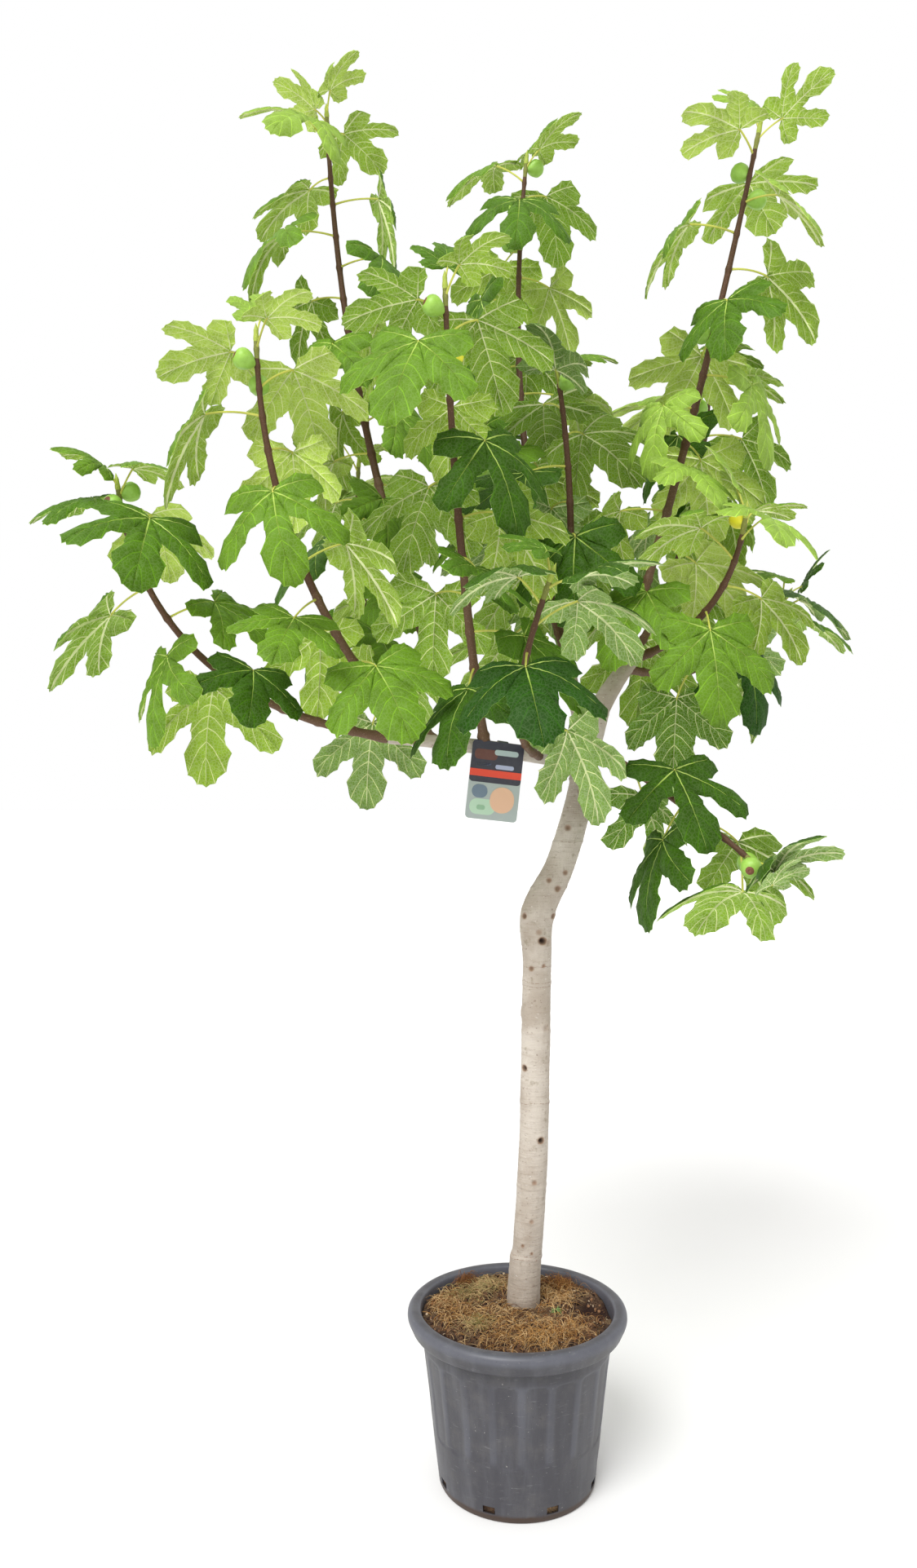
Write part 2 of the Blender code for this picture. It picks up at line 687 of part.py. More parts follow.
def make_soil(finish):
    """The root ball, which fills the pot and rises to a flat seat under the trunk."""
    trunk_foot = Vector(TRUNK[0][0])
    seat = TRUNK[0][1] + SOIL_SEAT_SPARE
    inner = wall_radius(POT_FLOOR) - POT_WALL - CLEAR
    edge = wall_radius(SOIL_EDGE_HEIGHT - SOIL_GRIP) - POT_WALL - CLEAR
    middle_height = (SOIL_EDGE_HEIGHT + SOIL_TOP_HEIGHT) / 2
    profile = (
        (0, POT_FLOOR + CLEAR),
        (inner - SOIL_FOOT_SPARE, POT_FLOOR + CLEAR),
        (edge, SOIL_EDGE_HEIGHT - SOIL_SHOULDER[1]),
        (edge - SOIL_SHOULDER[0], SOIL_EDGE_HEIGHT),
        (edge * SOIL_SWELL[0], middle_height + SOIL_SWELL[1]),
        (seat, SOIL_TOP_HEIGHT - CLEAR),
        (0, SOIL_TOP_HEIGHT - CLEAR),
    )
    corners, faces = turned(profile, SOIL_SIDES)
    swell = len(corners) - 1 - 2 * SOIL_SIDES
    flat = len(corners) - 1 - SOIL_SIDES
    for i in range(swell, len(corners)):
        lean = 1.0 if i >= flat else SOIL_LEAN
        corners[i] += Vector((trunk_foot.x, trunk_foot.y, 0)) * lean
    return mesh_object("potting_soil", (corners, faces), finish)


def make_label(finish):
    """The card and its strap round the left bough, as one piece."""
    middle, radius, axes = label_place()
    inner = (radius + 3 * CLEAR) / math.cos(math.pi / STRAP_SIDES)
    corners, faces = [], []
    for i in range(STRAP_SIDES):
        angle = 2 * math.pi * i / STRAP_SIDES
        for reach in (inner, inner + LABEL_THICKNESS):
            for x in (-STRAP_WIDTH / 2, STRAP_WIDTH / 2):
                corners.append(middle + axes @ Vector((x, reach * math.cos(angle), reach * math.sin(angle))))
        a, b = 4 * i, 4 * ((i + 1) % STRAP_SIDES)
        faces += [(a, a + 1, b + 1, b), (a + 2, b + 2, b + 3, a + 3)]
        faces += [(a, b, b + 2, a + 2), (a + 1, a + 3, b + 3, b + 1)]
    strap = mesh_object("plant_label", (corners, faces), finish)
    half, top = LABEL_WIDTH / 2, LABEL_RISE
    bottom = top - LABEL_HEIGHT
    left = [(-half + LABEL_CORNER, top), (-half, top - LABEL_CORNER)]
    left += [(-half, bottom + LABEL_CORNER), (-half + LABEL_CORNER, bottom)]
    outline = left + [(-x, z) for x, z in reversed(left)]
    outline = [(x + LABEL_SHIFT, z) for x, z in outline]
    front = -inner - CARD_STAND_OFF
    swing = axes @ Matrix.Rotation(LABEL_TILT, 3, "Y")
    corners = []
    for y in (front, front + LABEL_THICKNESS):
        corners += [middle + swing @ Vector((x, y, z)) for x, z in outline]
    n = len(outline)
    faces = [tuple(range(n)), tuple(reversed(range(n, 2 * n)))]
    faces += [(i, n + i, n + (i + 1) % n, (i + 1) % n) for i in range(n)]
    card = mesh_object("plant_label_card", (corners, faces), finish)
    for piece in (strap, card):
        point_outwards(piece)
    fuse(strap, [card])


def point_outwards(target):
    shape = bmesh.new()
    shape.from_mesh(target.data)
    bmesh.ops.recalc_face_normals(shape, faces=shape.faces)
    shape.to_mesh(target.data)
    shape.free()


def foot_tube(shoot, grow=0.0):
    """The bare length of a shoot."""
    return shoot_tube(shoot, 0, shoot.bare, FOOT_STEPS, LIMB_SIDES, grow)


def parent_tube(name, grow):
    """The limb that a shoot stands on, a little thicker, to cut the shoot's foot to."""
    if name == "trunk":
        return trunk_tube(grow)
    return bough_tube(MAIN_BOUGHS[name], grow)


def make_limbs(bark):
    """The trunk, the main boughs and the bare foot of each shoot, each clear of what it grows from
    and of the shoots that were made before it on the same limb."""
    mesh_object("trunk", trunk_tube(), bark["trunk"], smooth=True)
    for name, bough in MAIN_BOUGHS.items():
        limb = mesh_object(name, bough_tube(bough), bark["trunk"], smooth=True)
        cut(limb, trunk_tube(CLEAR))
        keep_largest(limb)
    made = []
    for name, shoot in SHOOTS.items():
        limb = mesh_object("bough_" + name, foot_tube(shoot), bark["shoot"], smooth=True)
        cut(limb, parent_tube(shoot.stands_on, CLEAR))
        for other in made:
            if bounds_tree(foot_tube(other, CLEAR)).overlap(bounds_tree(foot_tube(shoot, CLEAR))):
                cut(limb, foot_tube(other, CLEAR))
        keep_largest(limb)
        made.append(shoot)


def make_foliage(name, shoot, leaves, figs, finish):
    """One shoot's leafy length: its stem with every stalk, blade and fig fused on."""
    start = shoot.bare + CLEAR / line_length(shoot_line(shoot))
    stem = mesh_object("foliage_" + name, shoot_tube(shoot, start, 1, STEM_STEPS, STEM_SIDES), finish)
    pieces = []
    for i, leaf in enumerate(leaves):
        pieces.append(mesh_object(f"{name}_leaf_{i}", leaf_shape(leaf), finish))
    for i, (centre, axis) in enumerate(figs):
        pieces.append(mesh_object(f"{name}_fig_{i}", fig_shape(centre, axis), finish))
    for piece in pieces:
        point_outwards(piece)
    fuse(stem, pieces)


def clear_scene():
    for old in list(bpy.data.objects):
        bpy.data.objects.remove(old)


def main():
    clear_scene()
    bark = {
        "trunk": material("pale_bark", (0.56, 0.51, 0.45), 0.85),
        "shoot": material("brown_bark", (0.16, 0.09, 0.06), 0.7),
    }
    make_pot(material("grey_plastic", (0.055, 0.06, 0.07), 0.45))
    make_soil(material("peat", (0.16, 0.09, 0.045), 0.95))
    make_limbs(bark)
    make_label(material("printed_card", (0.5, 0.2, 0.2), 0.35))
    leaf_green = material("leaf_green", (0.16, 0.32, 0.05), 0.5)
    for name, (leaves, figs) in plan_crown().items():
        make_foliage(name, SHOOTS[name], leaves, figs, leaf_green)


if __name__ == "__main__":
    main()
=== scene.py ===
"""Fig tree in a round nursery pot: every surface that shows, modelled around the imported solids.

Metres, +Z up, in the frame of the solids: the origin is the centre of the pot's flat underside,
and the side that the tree shows best faces -Y.
"""

import math
import random
from collections import namedtuple

import bmesh
import bpy
import numpy as np
from mathutils import Matrix, Vector, noise
from mathutils.bvhtree import BVHTree


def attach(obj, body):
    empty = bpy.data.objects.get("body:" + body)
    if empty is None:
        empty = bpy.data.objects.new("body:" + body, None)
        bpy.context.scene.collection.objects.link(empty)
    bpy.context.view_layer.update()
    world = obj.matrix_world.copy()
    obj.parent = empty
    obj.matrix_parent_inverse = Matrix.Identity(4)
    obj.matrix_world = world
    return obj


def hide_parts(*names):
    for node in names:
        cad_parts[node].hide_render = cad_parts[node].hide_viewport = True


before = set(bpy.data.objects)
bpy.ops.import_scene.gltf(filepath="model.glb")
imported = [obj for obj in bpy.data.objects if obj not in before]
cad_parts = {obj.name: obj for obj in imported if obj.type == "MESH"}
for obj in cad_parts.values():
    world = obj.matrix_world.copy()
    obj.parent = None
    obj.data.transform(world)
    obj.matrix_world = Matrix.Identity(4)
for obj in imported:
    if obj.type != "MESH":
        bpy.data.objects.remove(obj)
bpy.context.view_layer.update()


# Daylight studio: a level camera a little left of the trunk, at the height of the fork, a pale
# floor under the pot, a broad sky light and one soft sun from the upper left in front.
CAMERA_PLACE = (-0.12, -2.41, 1.42)
FOCAL_PIXELS = 1440
PICTURE_HEIGHT_PIXELS = 1923
SUN_TURN = (math.radians(42), 0, math.radians(-28))
SUN_SOFTNESS = math.radians(32)
SUN_POWER = 2.45
SKY_POWER = 0.90
SKY_COLOUR = (1.0, 0.99, 0.97)
FLOOR_SIZE = 120


def srgb(red, green, blue):
    """A screen colour, given from 0 to 255, as the linear colour that shaders take."""
    return tuple(
        ((c / 255 + 0.055) / 1.055) ** 2.4 if c > 10 else c / 3294.6 for c in (red, green, blue)
    )


def finish(name, colour, roughness, specular=0.5):
    """A plain finish with one colour, and its shader for whatever is added to it."""
    made = bpy.data.materials.new(name)
    made.use_nodes = True
    shader = made.node_tree.nodes["Principled BSDF"]
    shader.inputs["Base Color"].default_value = (*colour, 1)
    shader.inputs["Roughness"].default_value = roughness
    shader.inputs["Specular IOR Level"].default_value = specular
    return made, shader


bpy.ops.object.select_all(action="DESELECT")
bpy.ops.object.camera_add(location=CAMERA_PLACE, rotation=(math.pi / 2, 0, 0))
camera = bpy.context.object
camera.data.lens = camera.data.sensor_width * FOCAL_PIXELS / PICTURE_HEIGHT_PIXELS
bpy.context.scene.camera = camera
bpy.ops.object.light_add(type="SUN", location=(-2, -3, 4), rotation=SUN_TURN)
bpy.context.object.data.angle = SUN_SOFTNESS
bpy.context.object.data.energy = SUN_POWER
sky = bpy.data.worlds.new("soft_sky")
sky.use_nodes = True
tree = sky.node_tree
glow = tree.nodes["Background"]
glow.inputs["Color"].default_value = (*SKY_COLOUR, 1)
glow.inputs["Strength"].default_value = SKY_POWER
backdrop = tree.nodes.new("ShaderNodeBackground")
seen = tree.nodes.new("ShaderNodeLightPath")
choice = tree.nodes.new("ShaderNodeMixShader")
tree.links.new(seen.outputs["Is Camera Ray"], choice.inputs["Fac"])
tree.links.new(glow.outputs["Background"], choice.inputs[1])
tree.links.new(backdrop.outputs["Background"], choice.inputs[2])
tree.links.new(choice.outputs["Shader"], tree.nodes["World Output"].inputs["Surface"])
backdrop.inputs["Color"].default_value = (1, 1, 1, 1)
bpy.context.scene.world = sky
bpy.context.scene.view_settings.view_transform = "Standard"
bpy.ops.mesh.primitive_plane_add(size=FLOOR_SIZE)
floor = bpy.context.object
floor.name = "studio_floor"
floor.data.materials.append(finish("pale_floor", (0.86, 0.86, 0.86), 0.9, specular=0.1)[0])


# Pot: a 35 litre grower's container, moulded in dark slate polyethylene. Twenty shallow upright
# panels are pressed into its wall between a plain band and a plain foot, a collar is folded down
# from its mouth, and eight drain slots are cut through the foot. Handling has scuffed it, and a
# painted highlight lightens the band round the collar's upper face.
POT_BASE_RADIUS = 0.159
POT_NECK_RADIUS = 0.195
POT_NECK_HEIGHT = 0.308
POT_WALL = 0.003
POT_FLOOR = 0.004
POT_SIDES = 240
COLLAR = ((0.1946, 0.3072), (0.2085, 0.3078), (0.2132, 0.3092), (0.2175, 0.3190), (0.2232, 0.3310),
          (0.2245, 0.3390), (0.2226, 0.3455), (0.2170, 0.3500), (0.2095, 0.3510), (0.2015, 0.3506),
          (0.1976, 0.3478), (0.1962, 0.3420))
PANELS = 20
PANEL_TURN = math.radians(-9)
PANEL_DEPTH = 0.0017
PANEL_FOOT = 0.108
PANEL_TOP = 0.279
PANEL_CORNER = 0.013
PANEL_EDGE = 0.005
RIB_WIDTH = 0.011
DRAIN_HOLES = 8
DRAIN_SIZE = (0.024, 0.025, 0.014)
DRAIN_MIDDLE = 0.022
COLLAR_SEAT = 0.3055
INNER_HEIGHTS = (0.3040, 0.280, 0.2, 0.1, POT_FLOOR)
DIRT_HEIGHTS = (0.006, 0.018)
DENTS = ((0.0009, 9), (0.0004, 31))
CREASE_ANGLE = math.radians(38)


def ramp(value, low, high):
    """0 below low, 1 above high and a smooth rise between."""
    share = min(1.0, max(0.0, (value - low) / (high - low)))
    return share * share * (3 - 2 * share)


def node(tree, kind, **settings):
    """A shader node. A setting named after an input fills or links it; any other is a property."""
    made = tree.nodes.new(kind)
    for name, value in settings.items():
        slot = name.replace("_", " ")
        if slot in made.inputs:
            if isinstance(value, bpy.types.NodeSocket):
                tree.links.new(value, made.inputs[slot])
            else:
                made.inputs[slot].default_value = value
        else:
            setattr(made, name, value)
    return made


def fill(tree, socket, value):
    """Gives a socket a link, a colour or a number."""
    if isinstance(value, bpy.types.NodeSocket):
        tree.links.new(value, socket)
    else:
        socket.default_value = (*value, 1) if isinstance(value, tuple) else value


def remap(tree, value, low, high, out=(0.0, 1.0), smooth=True):
    """The value drawn out, so that low gives the first of out and high gives the second."""
    kind = "SMOOTHSTEP" if smooth else "LINEAR"
    made = node(tree, "ShaderNodeMapRange", interpolation_type=kind, Value=value)
    for name, number in zip(("From Min", "From Max", "To Min", "To Max"), (low, high, *out)):
        fill(tree, made.inputs[name], number)
    return made.outputs["Result"]


def blotches_group():
    """Shader group: soft blotches at a place, as a mask, and their height for a bump."""
    tree = bpy.data.node_groups.new("blotches", "ShaderNodeTree")
    tree.interface.new_socket("Place", in_out="INPUT", socket_type="NodeSocketVector")
    for name in ("Scale", "Low", "High"):
        tree.interface.new_socket(name, in_out="INPUT", socket_type="NodeSocketFloat")
    for name in ("Mask", "Height"):
        tree.interface.new_socket(name, in_out="OUTPUT", socket_type="NodeSocketFloat")
    entry = node(tree, "NodeGroupInput")
    cloud = node(tree, "ShaderNodeTexNoise", Vector=entry.outputs["Place"],
                 Scale=entry.outputs["Scale"], Detail=6.0, Roughness=0.62)
    mask = remap(tree, cloud.outputs["Fac"], entry.outputs["Low"], entry.outputs["High"])
    leave = node(tree, "NodeGroupOutput")
    tree.links.new(mask, leave.inputs["Mask"])
    tree.links.new(cloud.outputs["Fac"], leave.inputs["Height"])
    return tree


BLOTCHES = blotches_group()


def blotches(tree, place, scale, low, high):
    made = node(tree, "ShaderNodeGroup", node_tree=BLOTCHES)
    tree.links.new(place, made.inputs["Place"])
    for name, value in (("Scale", scale), ("Low", low), ("High", high)):
        made.inputs[name].default_value = value
    return made


def place_of(tree, stretch=(1, 1, 1)):
    """Object coordinates, stretched along each axis."""
    place = node(tree, "ShaderNodeTexCoord").outputs["Object"]
    return node(tree, "ShaderNodeMapping", Vector=place, Scale=stretch).outputs["Vector"]


def tint(tree, under, over, mask):
    """The colour over, laid on the colour under where the mask is."""
    made = node(tree, "ShaderNodeMix", data_type="RGBA")
    for place, value in ((0, mask), (6, under), (7, over)):
        fill(tree, made.inputs[place], value)
    return made.outputs[2]


def bump(tree, shader, height, strength, depth):
    made = node(tree, "ShaderNodeBump", Height=height, Strength=strength, Distance=depth)
    tree.links.new(made.outputs["Normal"], shader.inputs["Normal"])


def height_of(tree):
    place = node(tree, "ShaderNodeTexCoord").outputs["Object"]
    return node(tree, "ShaderNodeSeparateXYZ", Vector=place).outputs["Z"]


def low_down(tree, low, high):
    """A mask that is 1 below one height and 0 above another."""
    return maths(tree, "SUBTRACT", 1.0, remap(tree, height_of(tree), low, high))


def maths(tree, operation, first, second):
    made = node(tree, "ShaderNodeMath", operation=operation)
    for socket, value in zip(made.inputs, (first, second)):
        fill(tree, socket, value)
    return made.outputs["Value"]


def share_of(tree, mask, share):
    return maths(tree, "MULTIPLY", mask, share)


def coated(tree, colour, *coats):
    """The colour under its coats, each given as a colour, a mask and the mask's share."""
    for over, mask, share in coats:
        colour = tint(tree, colour, srgb(*over), share_of(tree, mask, share))
    return colour


def select_only(*pieces):
    """Selects these pieces alone. The first one is active."""
    bpy.ops.object.select_all(action="DESELECT")
    for piece in pieces:
        piece.select_set(True)
    bpy.context.view_layer.objects.active = pieces[0]


def apply_all(piece):
    select_only(piece)
    for modifier in list(piece.modifiers):
        bpy.ops.object.modifier_apply(modifier=modifier.name)


def wall_radius(height):
    return POT_BASE_RADIUS + (POT_NECK_RADIUS - POT_BASE_RADIUS) * height / POT_NECK_HEIGHT


def rounded_off(points, rounds):
    """The same line with its corners cut, again and again."""
    for _ in range(rounds):
        cut = [points[0]]
        for (r0, z0), (r1, z1) in zip(points, points[1:]):
            for a, b in ((0.75, 0.25), (0.25, 0.75)):
                cut.append((r0 * a + r1 * b, z0 * a + z1 * b))
        points = [*cut, points[-1]]
    return points


def pressed_in(x, y, z):
    """How much of the panel's depth the wall has at a place: 1 inside a panel, 0 on a rib."""
    radius = wall_radius(z)
    sector = 2 * math.pi / PANELS
    turn = (math.atan2(y, x) - PANEL_TURN + sector / 2) % sector - sector / 2
    half = sector * radius / 2 - RIB_WIDTH / 2
    across = abs(turn) * radius - half + PANEL_CORNER
    along = abs(z - (PANEL_FOOT + PANEL_TOP) / 2) - (PANEL_TOP - PANEL_FOOT) / 2 + PANEL_CORNER
    outside = math.hypot(max(across, 0), max(along, 0)) + min(max(across, along), 0) - PANEL_CORNER
    return 1 - ramp(outside, -PANEL_EDGE, 0)


def pot_profile():
    """Radius and height of each ring: underside, up the wall, over the collar and down inside."""
    rings = [
        (POT_BASE_RADIUS - 0.006, 0.0), (POT_BASE_RADIUS - 0.0015, 0.0015),
        (wall_radius(0.006), 0.006),
    ]
    for low, high, count in (
        (0.012, PANEL_FOOT - 0.002, 12), (PANEL_FOOT, PANEL_FOOT + 0.018, 12),
        (PANEL_FOOT + 0.024, PANEL_TOP - 0.024, 18), (PANEL_TOP - 0.018, PANEL_TOP, 12),
        (PANEL_TOP + 0.003, COLLAR_SEAT, 5),
    ):
        rings += [(wall_radius(height), height) for height in np.linspace(low, high, count)]
    rings += rounded_off(COLLAR, 1)
    return rings + [(wall_radius(height) - POT_WALL, height) for height in INNER_HEIGHTS]


def raise_rings(rings, sides):
    """A turned shell: a disc whose edge is extruded from ring to ring and closed at the end."""
    bpy.ops.object.select_all(action="DESELECT")
    (first, low), *others = rings
    bpy.ops.mesh.primitive_circle_add(
        vertices=sides, radius=first, fill_type="NGON", location=(0, 0, low)
    )
    bpy.ops.object.transform_apply()
    made = bpy.context.object
    bpy.ops.object.mode_set(mode="EDIT")
    for radius, height in others:
        bpy.ops.mesh.extrude_region_move(TRANSFORM_OT_translate={"value": (0, 0, height - low)})
        size = radius / first
        bpy.ops.transform.resize(value=(size, size, 1), center_override=(0, 0, height))
        first, low = radius, height
    bpy.ops.mesh.select_all(action="SELECT")
    bpy.ops.mesh.normals_make_consistent(inside=False)
    bpy.ops.object.mode_set(mode="OBJECT")
    return made


pot = raise_rings(pot_profile(), POT_SIDES)
pot.name = pot.data.name = "nursery_pot"
for corner in pot.data.vertices:
    x, y, z = corner.co
    radius = math.hypot(x, y)
    if z < POT_NECK_HEIGHT - 0.002 and radius > wall_radius(z) - POT_WALL / 2:
        pressed = (radius - PANEL_DEPTH * pressed_in(x, y, z)) / radius
        corner.co = Vector((x, y, 0)) * pressed + Vector((0, 0, z))
    dent = sum(depth * noise.noise(Vector((x, y, z)) * scale) for depth, scale in DENTS)
    corner.co += Vector((x, y, 0)).normalized() * dent * ramp(z, 0.01, 0.05)
slots = []
for i in range(DRAIN_HOLES):
    angle = -math.pi / 2 + (i + 0.5) * 2 * math.pi / DRAIN_HOLES
    radius = wall_radius(DRAIN_MIDDLE)
    place = (radius * math.cos(angle), radius * math.sin(angle), DRAIN_MIDDLE)
    bpy.ops.mesh.primitive_cube_add(
        size=1, location=place, rotation=(0, 0, angle), scale=DRAIN_SIZE
    )
    slots.append(bpy.context.object)
for slot in slots:
    step = pot.modifiers.new("drain_slot", "BOOLEAN")
    step.object = slot
    step.solver = "EXACT"
apply_all(pot)
for slot in slots:
    bpy.data.objects.remove(slot)
bpy.ops.object.shade_smooth_by_angle(angle=CREASE_ANGLE)
# Ribs are lighter where handling has rubbed them; the band round the collar's upper face is lighter
# as a painted highlight.
rubbed_ribs_and_collar_highlight = pot.data.attributes.new("rubbed_ribs_and_collar_highlight", "FLOAT", "POINT")
for corner, worn in zip(pot.data.vertices, rubbed_ribs_and_collar_highlight.data):
    x, y, z = corner.co
    on_rib = (1 - pressed_in(x, y, z)) * ramp(z, PANEL_FOOT, PANEL_FOOT + 0.02)
    patchy = 0.45 + 0.75 * noise.noise(Vector((x, y, z * 0.4)) * 14)
    on_rib *= (1 - ramp(z, 0.272, 0.284)) * patchy
    collar_highlight = ramp(z, 0.325, 0.338) * (1 - ramp(z, 0.3495, 0.351))
    worn.value = max(on_rib, collar_highlight)

plastic, shader = finish("slate_polyethylene", srgb(60, 60, 66), 0.45)
tree = plastic.node_tree
streaks = blotches(tree, place_of(tree, (16, 16, 2.2)), 1.6, 0.42, 0.72)
dust = blotches(tree, place_of(tree), 22.0, 0.44, 0.74)
scuffs = blotches(tree, place_of(tree, (1, 1, 7)), 34.0, 0.60, 0.72)
specks = blotches(tree, place_of(tree), 210.0, 0.67, 0.72)
pits = blotches(tree, place_of(tree, (1, 1, 1.6)), 120.0, 0.62, 0.70)
worn = node(tree, "ShaderNodeAttribute", attribute_name="rubbed_ribs_and_collar_highlight").outputs["Fac"]
splash = maths(tree, "MULTIPLY", low_down(tree, *DIRT_HEIGHTS), dust.outputs["Height"])
colour = tint(tree, srgb(58, 57, 63), srgb(76, 76, 82), streaks.outputs["Mask"])
# The pale coat on the rubbed mask is wear on the ribs and a painted highlight on the collar band.
colour = coated(
    tree, colour,
    ((88, 86, 86), dust.outputs["Mask"], 0.45), ((96, 98, 108), worn, 0.55),
    ((128, 128, 130), scuffs.outputs["Mask"], 0.30), ((36, 34, 38), pits.outputs["Mask"], 0.40),
    ((186, 184, 178), specks.outputs["Mask"], 0.50), ((60, 44, 34), splash, 3.0),
)
tree.links.new(colour, shader.inputs["Base Color"])
gloss = remap(tree, dust.outputs["Height"], 0.0, 1.0, out=(0.30, 0.62), smooth=False)
tree.links.new(gloss, shader.inputs["Roughness"])
bump(tree, shader, dust.outputs["Height"], 0.25, 0.002)
pot.data.materials.append(plastic)
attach(pot, "root")
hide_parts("pot")


# Potting soil: brown peat and bark crumbs that nearly fill the pot, with a hollow against the wall
# on the right that is darkened with painted shade. Dry golden moss and root fibres lie matted over
# it, a clump or two stands up higher at the back, and one small weed has come up.
UP = Vector((0, 0, 1))
SOIL_EDGE_HEIGHT = 0.336
SOIL_TOP_HEIGHT = 0.343
SOIL_SIDES = 168
SOIL_RINGS = 44
TRUNK_FOOT = Vector((0.0145, 0.030, SOIL_TOP_HEIGHT))
TRUNK_FOOT_RADIUS = 0.035
HOLLOW_PLACE = (0.163, 0.012)
HOLLOW_RADIUS = 0.054
HOLLOW_DEPTH = 0.027
LUMPS = ((0.0040, 28, 0), (0.0026, 75, 3), (0.0014, 190, 7))
SOIL_GAP = 0.0004
SOIL_FLAT = 0.320
CRUMBS = 2600
CRUMB_SIZES = (0.0008, 0.0030)
FIBRES = 4200
FIBRE_LENGTHS = (0.010, 0.034)
FIBRE_RADIUS = 0.00052
WEED_PLACE = (0.080, -0.013)
WEED_LEAVES = 26
WEED_RADIUS = 0.0011


def soil_height(x, y):
    """The soil's surface: a low mound round the trunk, lumps of two sizes and the hollow."""
    out = math.hypot(x, y) / wall_radius(SOIL_EDGE_HEIGHT)
    height = SOIL_EDGE_HEIGHT + (SOIL_TOP_HEIGHT - SOIL_EDGE_HEIGHT) * (1 - ramp(out, 0.15, 1.0))
    height += sum(lump * noise.noise(Vector((x, y, z)) * scale) for lump, scale, z in LUMPS)
    away = math.hypot(x - HOLLOW_PLACE[0], y - HOLLOW_PLACE[1]) / HOLLOW_RADIUS
    return height - HOLLOW_DEPTH * (1 - ramp(away, 0.25, 1.0)) - 0.003 * ramp(out, 0.94, 1.0)


def joined_mesh(name, corners, faces, finishes, kinds=None, smooth=True):
    """One piece from arrays of corners and faces. kinds gives each face its finish."""
    mesh = bpy.data.meshes.new(name)
    mesh.from_pydata(np.asarray(corners).tolist(), [], [tuple(f) for f in faces])
    for entry in finishes:
        mesh.materials.append(entry)
    if kinds is not None:
        mesh.polygons.foreach_set("material_index", np.asarray(kinds, np.int32))
    if smooth:
        mesh.shade_smooth()
        mesh.set_sharp_from_angle(angle=math.radians(55))
    made = bpy.data.objects.new(name, mesh)
    bpy.context.scene.collection.objects.link(made)
    return made


edge = wall_radius(INNER_HEIGHTS[0]) - POT_WALL - SOIL_GAP
soil_foot = wall_radius(POT_FLOOR) - POT_WALL - 2 * SOIL_GAP
soil = raise_rings(
    [(soil_foot, POT_FLOOR + SOIL_GAP), (edge - 0.0005, 0.29), (edge + 0.0015, 0.310)]
    + [((edge + 0.002) * (1 - i / SOIL_RINGS) ** 0.9, SOIL_FLAT) for i in range(SOIL_RINGS)]
    + [(0.0006, SOIL_FLAT)],
    SOIL_SIDES,
)
soil.name = soil.data.name = "potting_soil_top"
bpy.ops.object.mode_set(mode="EDIT")
bpy.ops.mesh.select_all(action="SELECT")
bpy.ops.mesh.remove_doubles(threshold=0.0002)
bpy.ops.mesh.select_all(action="DESELECT")
bpy.ops.mesh.select_mode(type="EDGE")
bpy.ops.mesh.select_non_manifold()
bpy.ops.mesh.edge_face_add()
bpy.ops.object.mode_set(mode="OBJECT")
for corner in soil.data.vertices:
    if corner.co.z > SOIL_FLAT - 0.005:
        corner.co.z = soil_height(corner.co.x, corner.co.y)
bpy.ops.object.shade_smooth()

peat, shader = finish("brown_peat", srgb(92, 62, 38), 0.95, specular=0.2)
tree = peat.node_tree
damp = blotches(tree, place_of(tree), 38.0, 0.38, 0.62)
gold = blotches(tree, place_of(tree), 17.0, 0.48, 0.64)
fine = blotches(tree, place_of(tree), 330.0, 0.35, 0.70)
reach = node(tree, "ShaderNodeVectorMath", operation="DISTANCE")
tree.links.new(place_of(tree, (1, 1, 0)), reach.inputs[0])
reach.inputs[1].default_value = (*HOLLOW_PLACE, 0)
# The hollow by the wall is darkened towards its middle: painted shade.
hollow_painted_shade = remap(tree, reach.outputs["Value"], HOLLOW_RADIUS, HOLLOW_RADIUS * 0.5)
colour = tint(tree, srgb(64, 46, 36), srgb(124, 97, 74), damp.outputs["Mask"])
colour = coated(
    tree, colour, ((160, 134, 98), gold.outputs["Mask"], 0.5),
    ((42, 30, 24), fine.outputs["Mask"], 0.85), ((46, 30, 27), hollow_painted_shade, 0.90),
)
tree.links.new(colour, shader.inputs["Base Color"])
bump(tree, shader, fine.outputs["Height"], 0.8, 0.004)
soil.data.materials.append(peat)

soil_rule = random.Random(35)


def soil_spot():
    """A seeded place on the soil, inside the wall and outside the trunk."""
    while True:
        x, y = soil_rule.uniform(-edge, edge), soil_rule.uniform(-edge, edge)
        from_trunk = math.hypot(x - TRUNK_FOOT.x, y - TRUNK_FOOT.y)
        if math.hypot(x, y) <= edge - 0.004 and from_trunk >= TRUNK_FOOT_RADIUS:
            return x, y


shape = bmesh.new()
bmesh.ops.create_icosphere(shape, subdivisions=1, radius=1)
ball = np.array([v.co[:] for v in shape.verts])
ball_faces = np.array([[v.index for v in f.verts] for f in shape.faces])
shape.free()
corners, faces, kinds = [], [], []
for i in range(CRUMBS):
    x, y = soil_spot()
    size = CRUMB_SIZES[0] + (CRUMB_SIZES[1] - CRUMB_SIZES[0]) * soil_rule.random() ** 2.5
    angle = soil_rule.uniform(0, 6.3)
    turn = Matrix.Rotation(angle, 3, Vector([soil_rule.gauss(0, 1) for _ in range(3)]))
    stretch = np.array([soil_rule.uniform(0.4, 1.9) for _ in range(3)]) * size
    lump = (ball * (1 + 0.25 * np.sin(ball @ (3, 5, 7) + i))[:, None] * stretch) @ np.array(turn).T
    faces.append(ball_faces + len(ball) * i)
    corners.append(lump + (x, y, soil_height(x, y) + size * 0.3))
    kinds.append(np.full(len(ball_faces), soil_rule.choice((0, 0, 0, 1, 1, 2)) if i % 16 else 3))
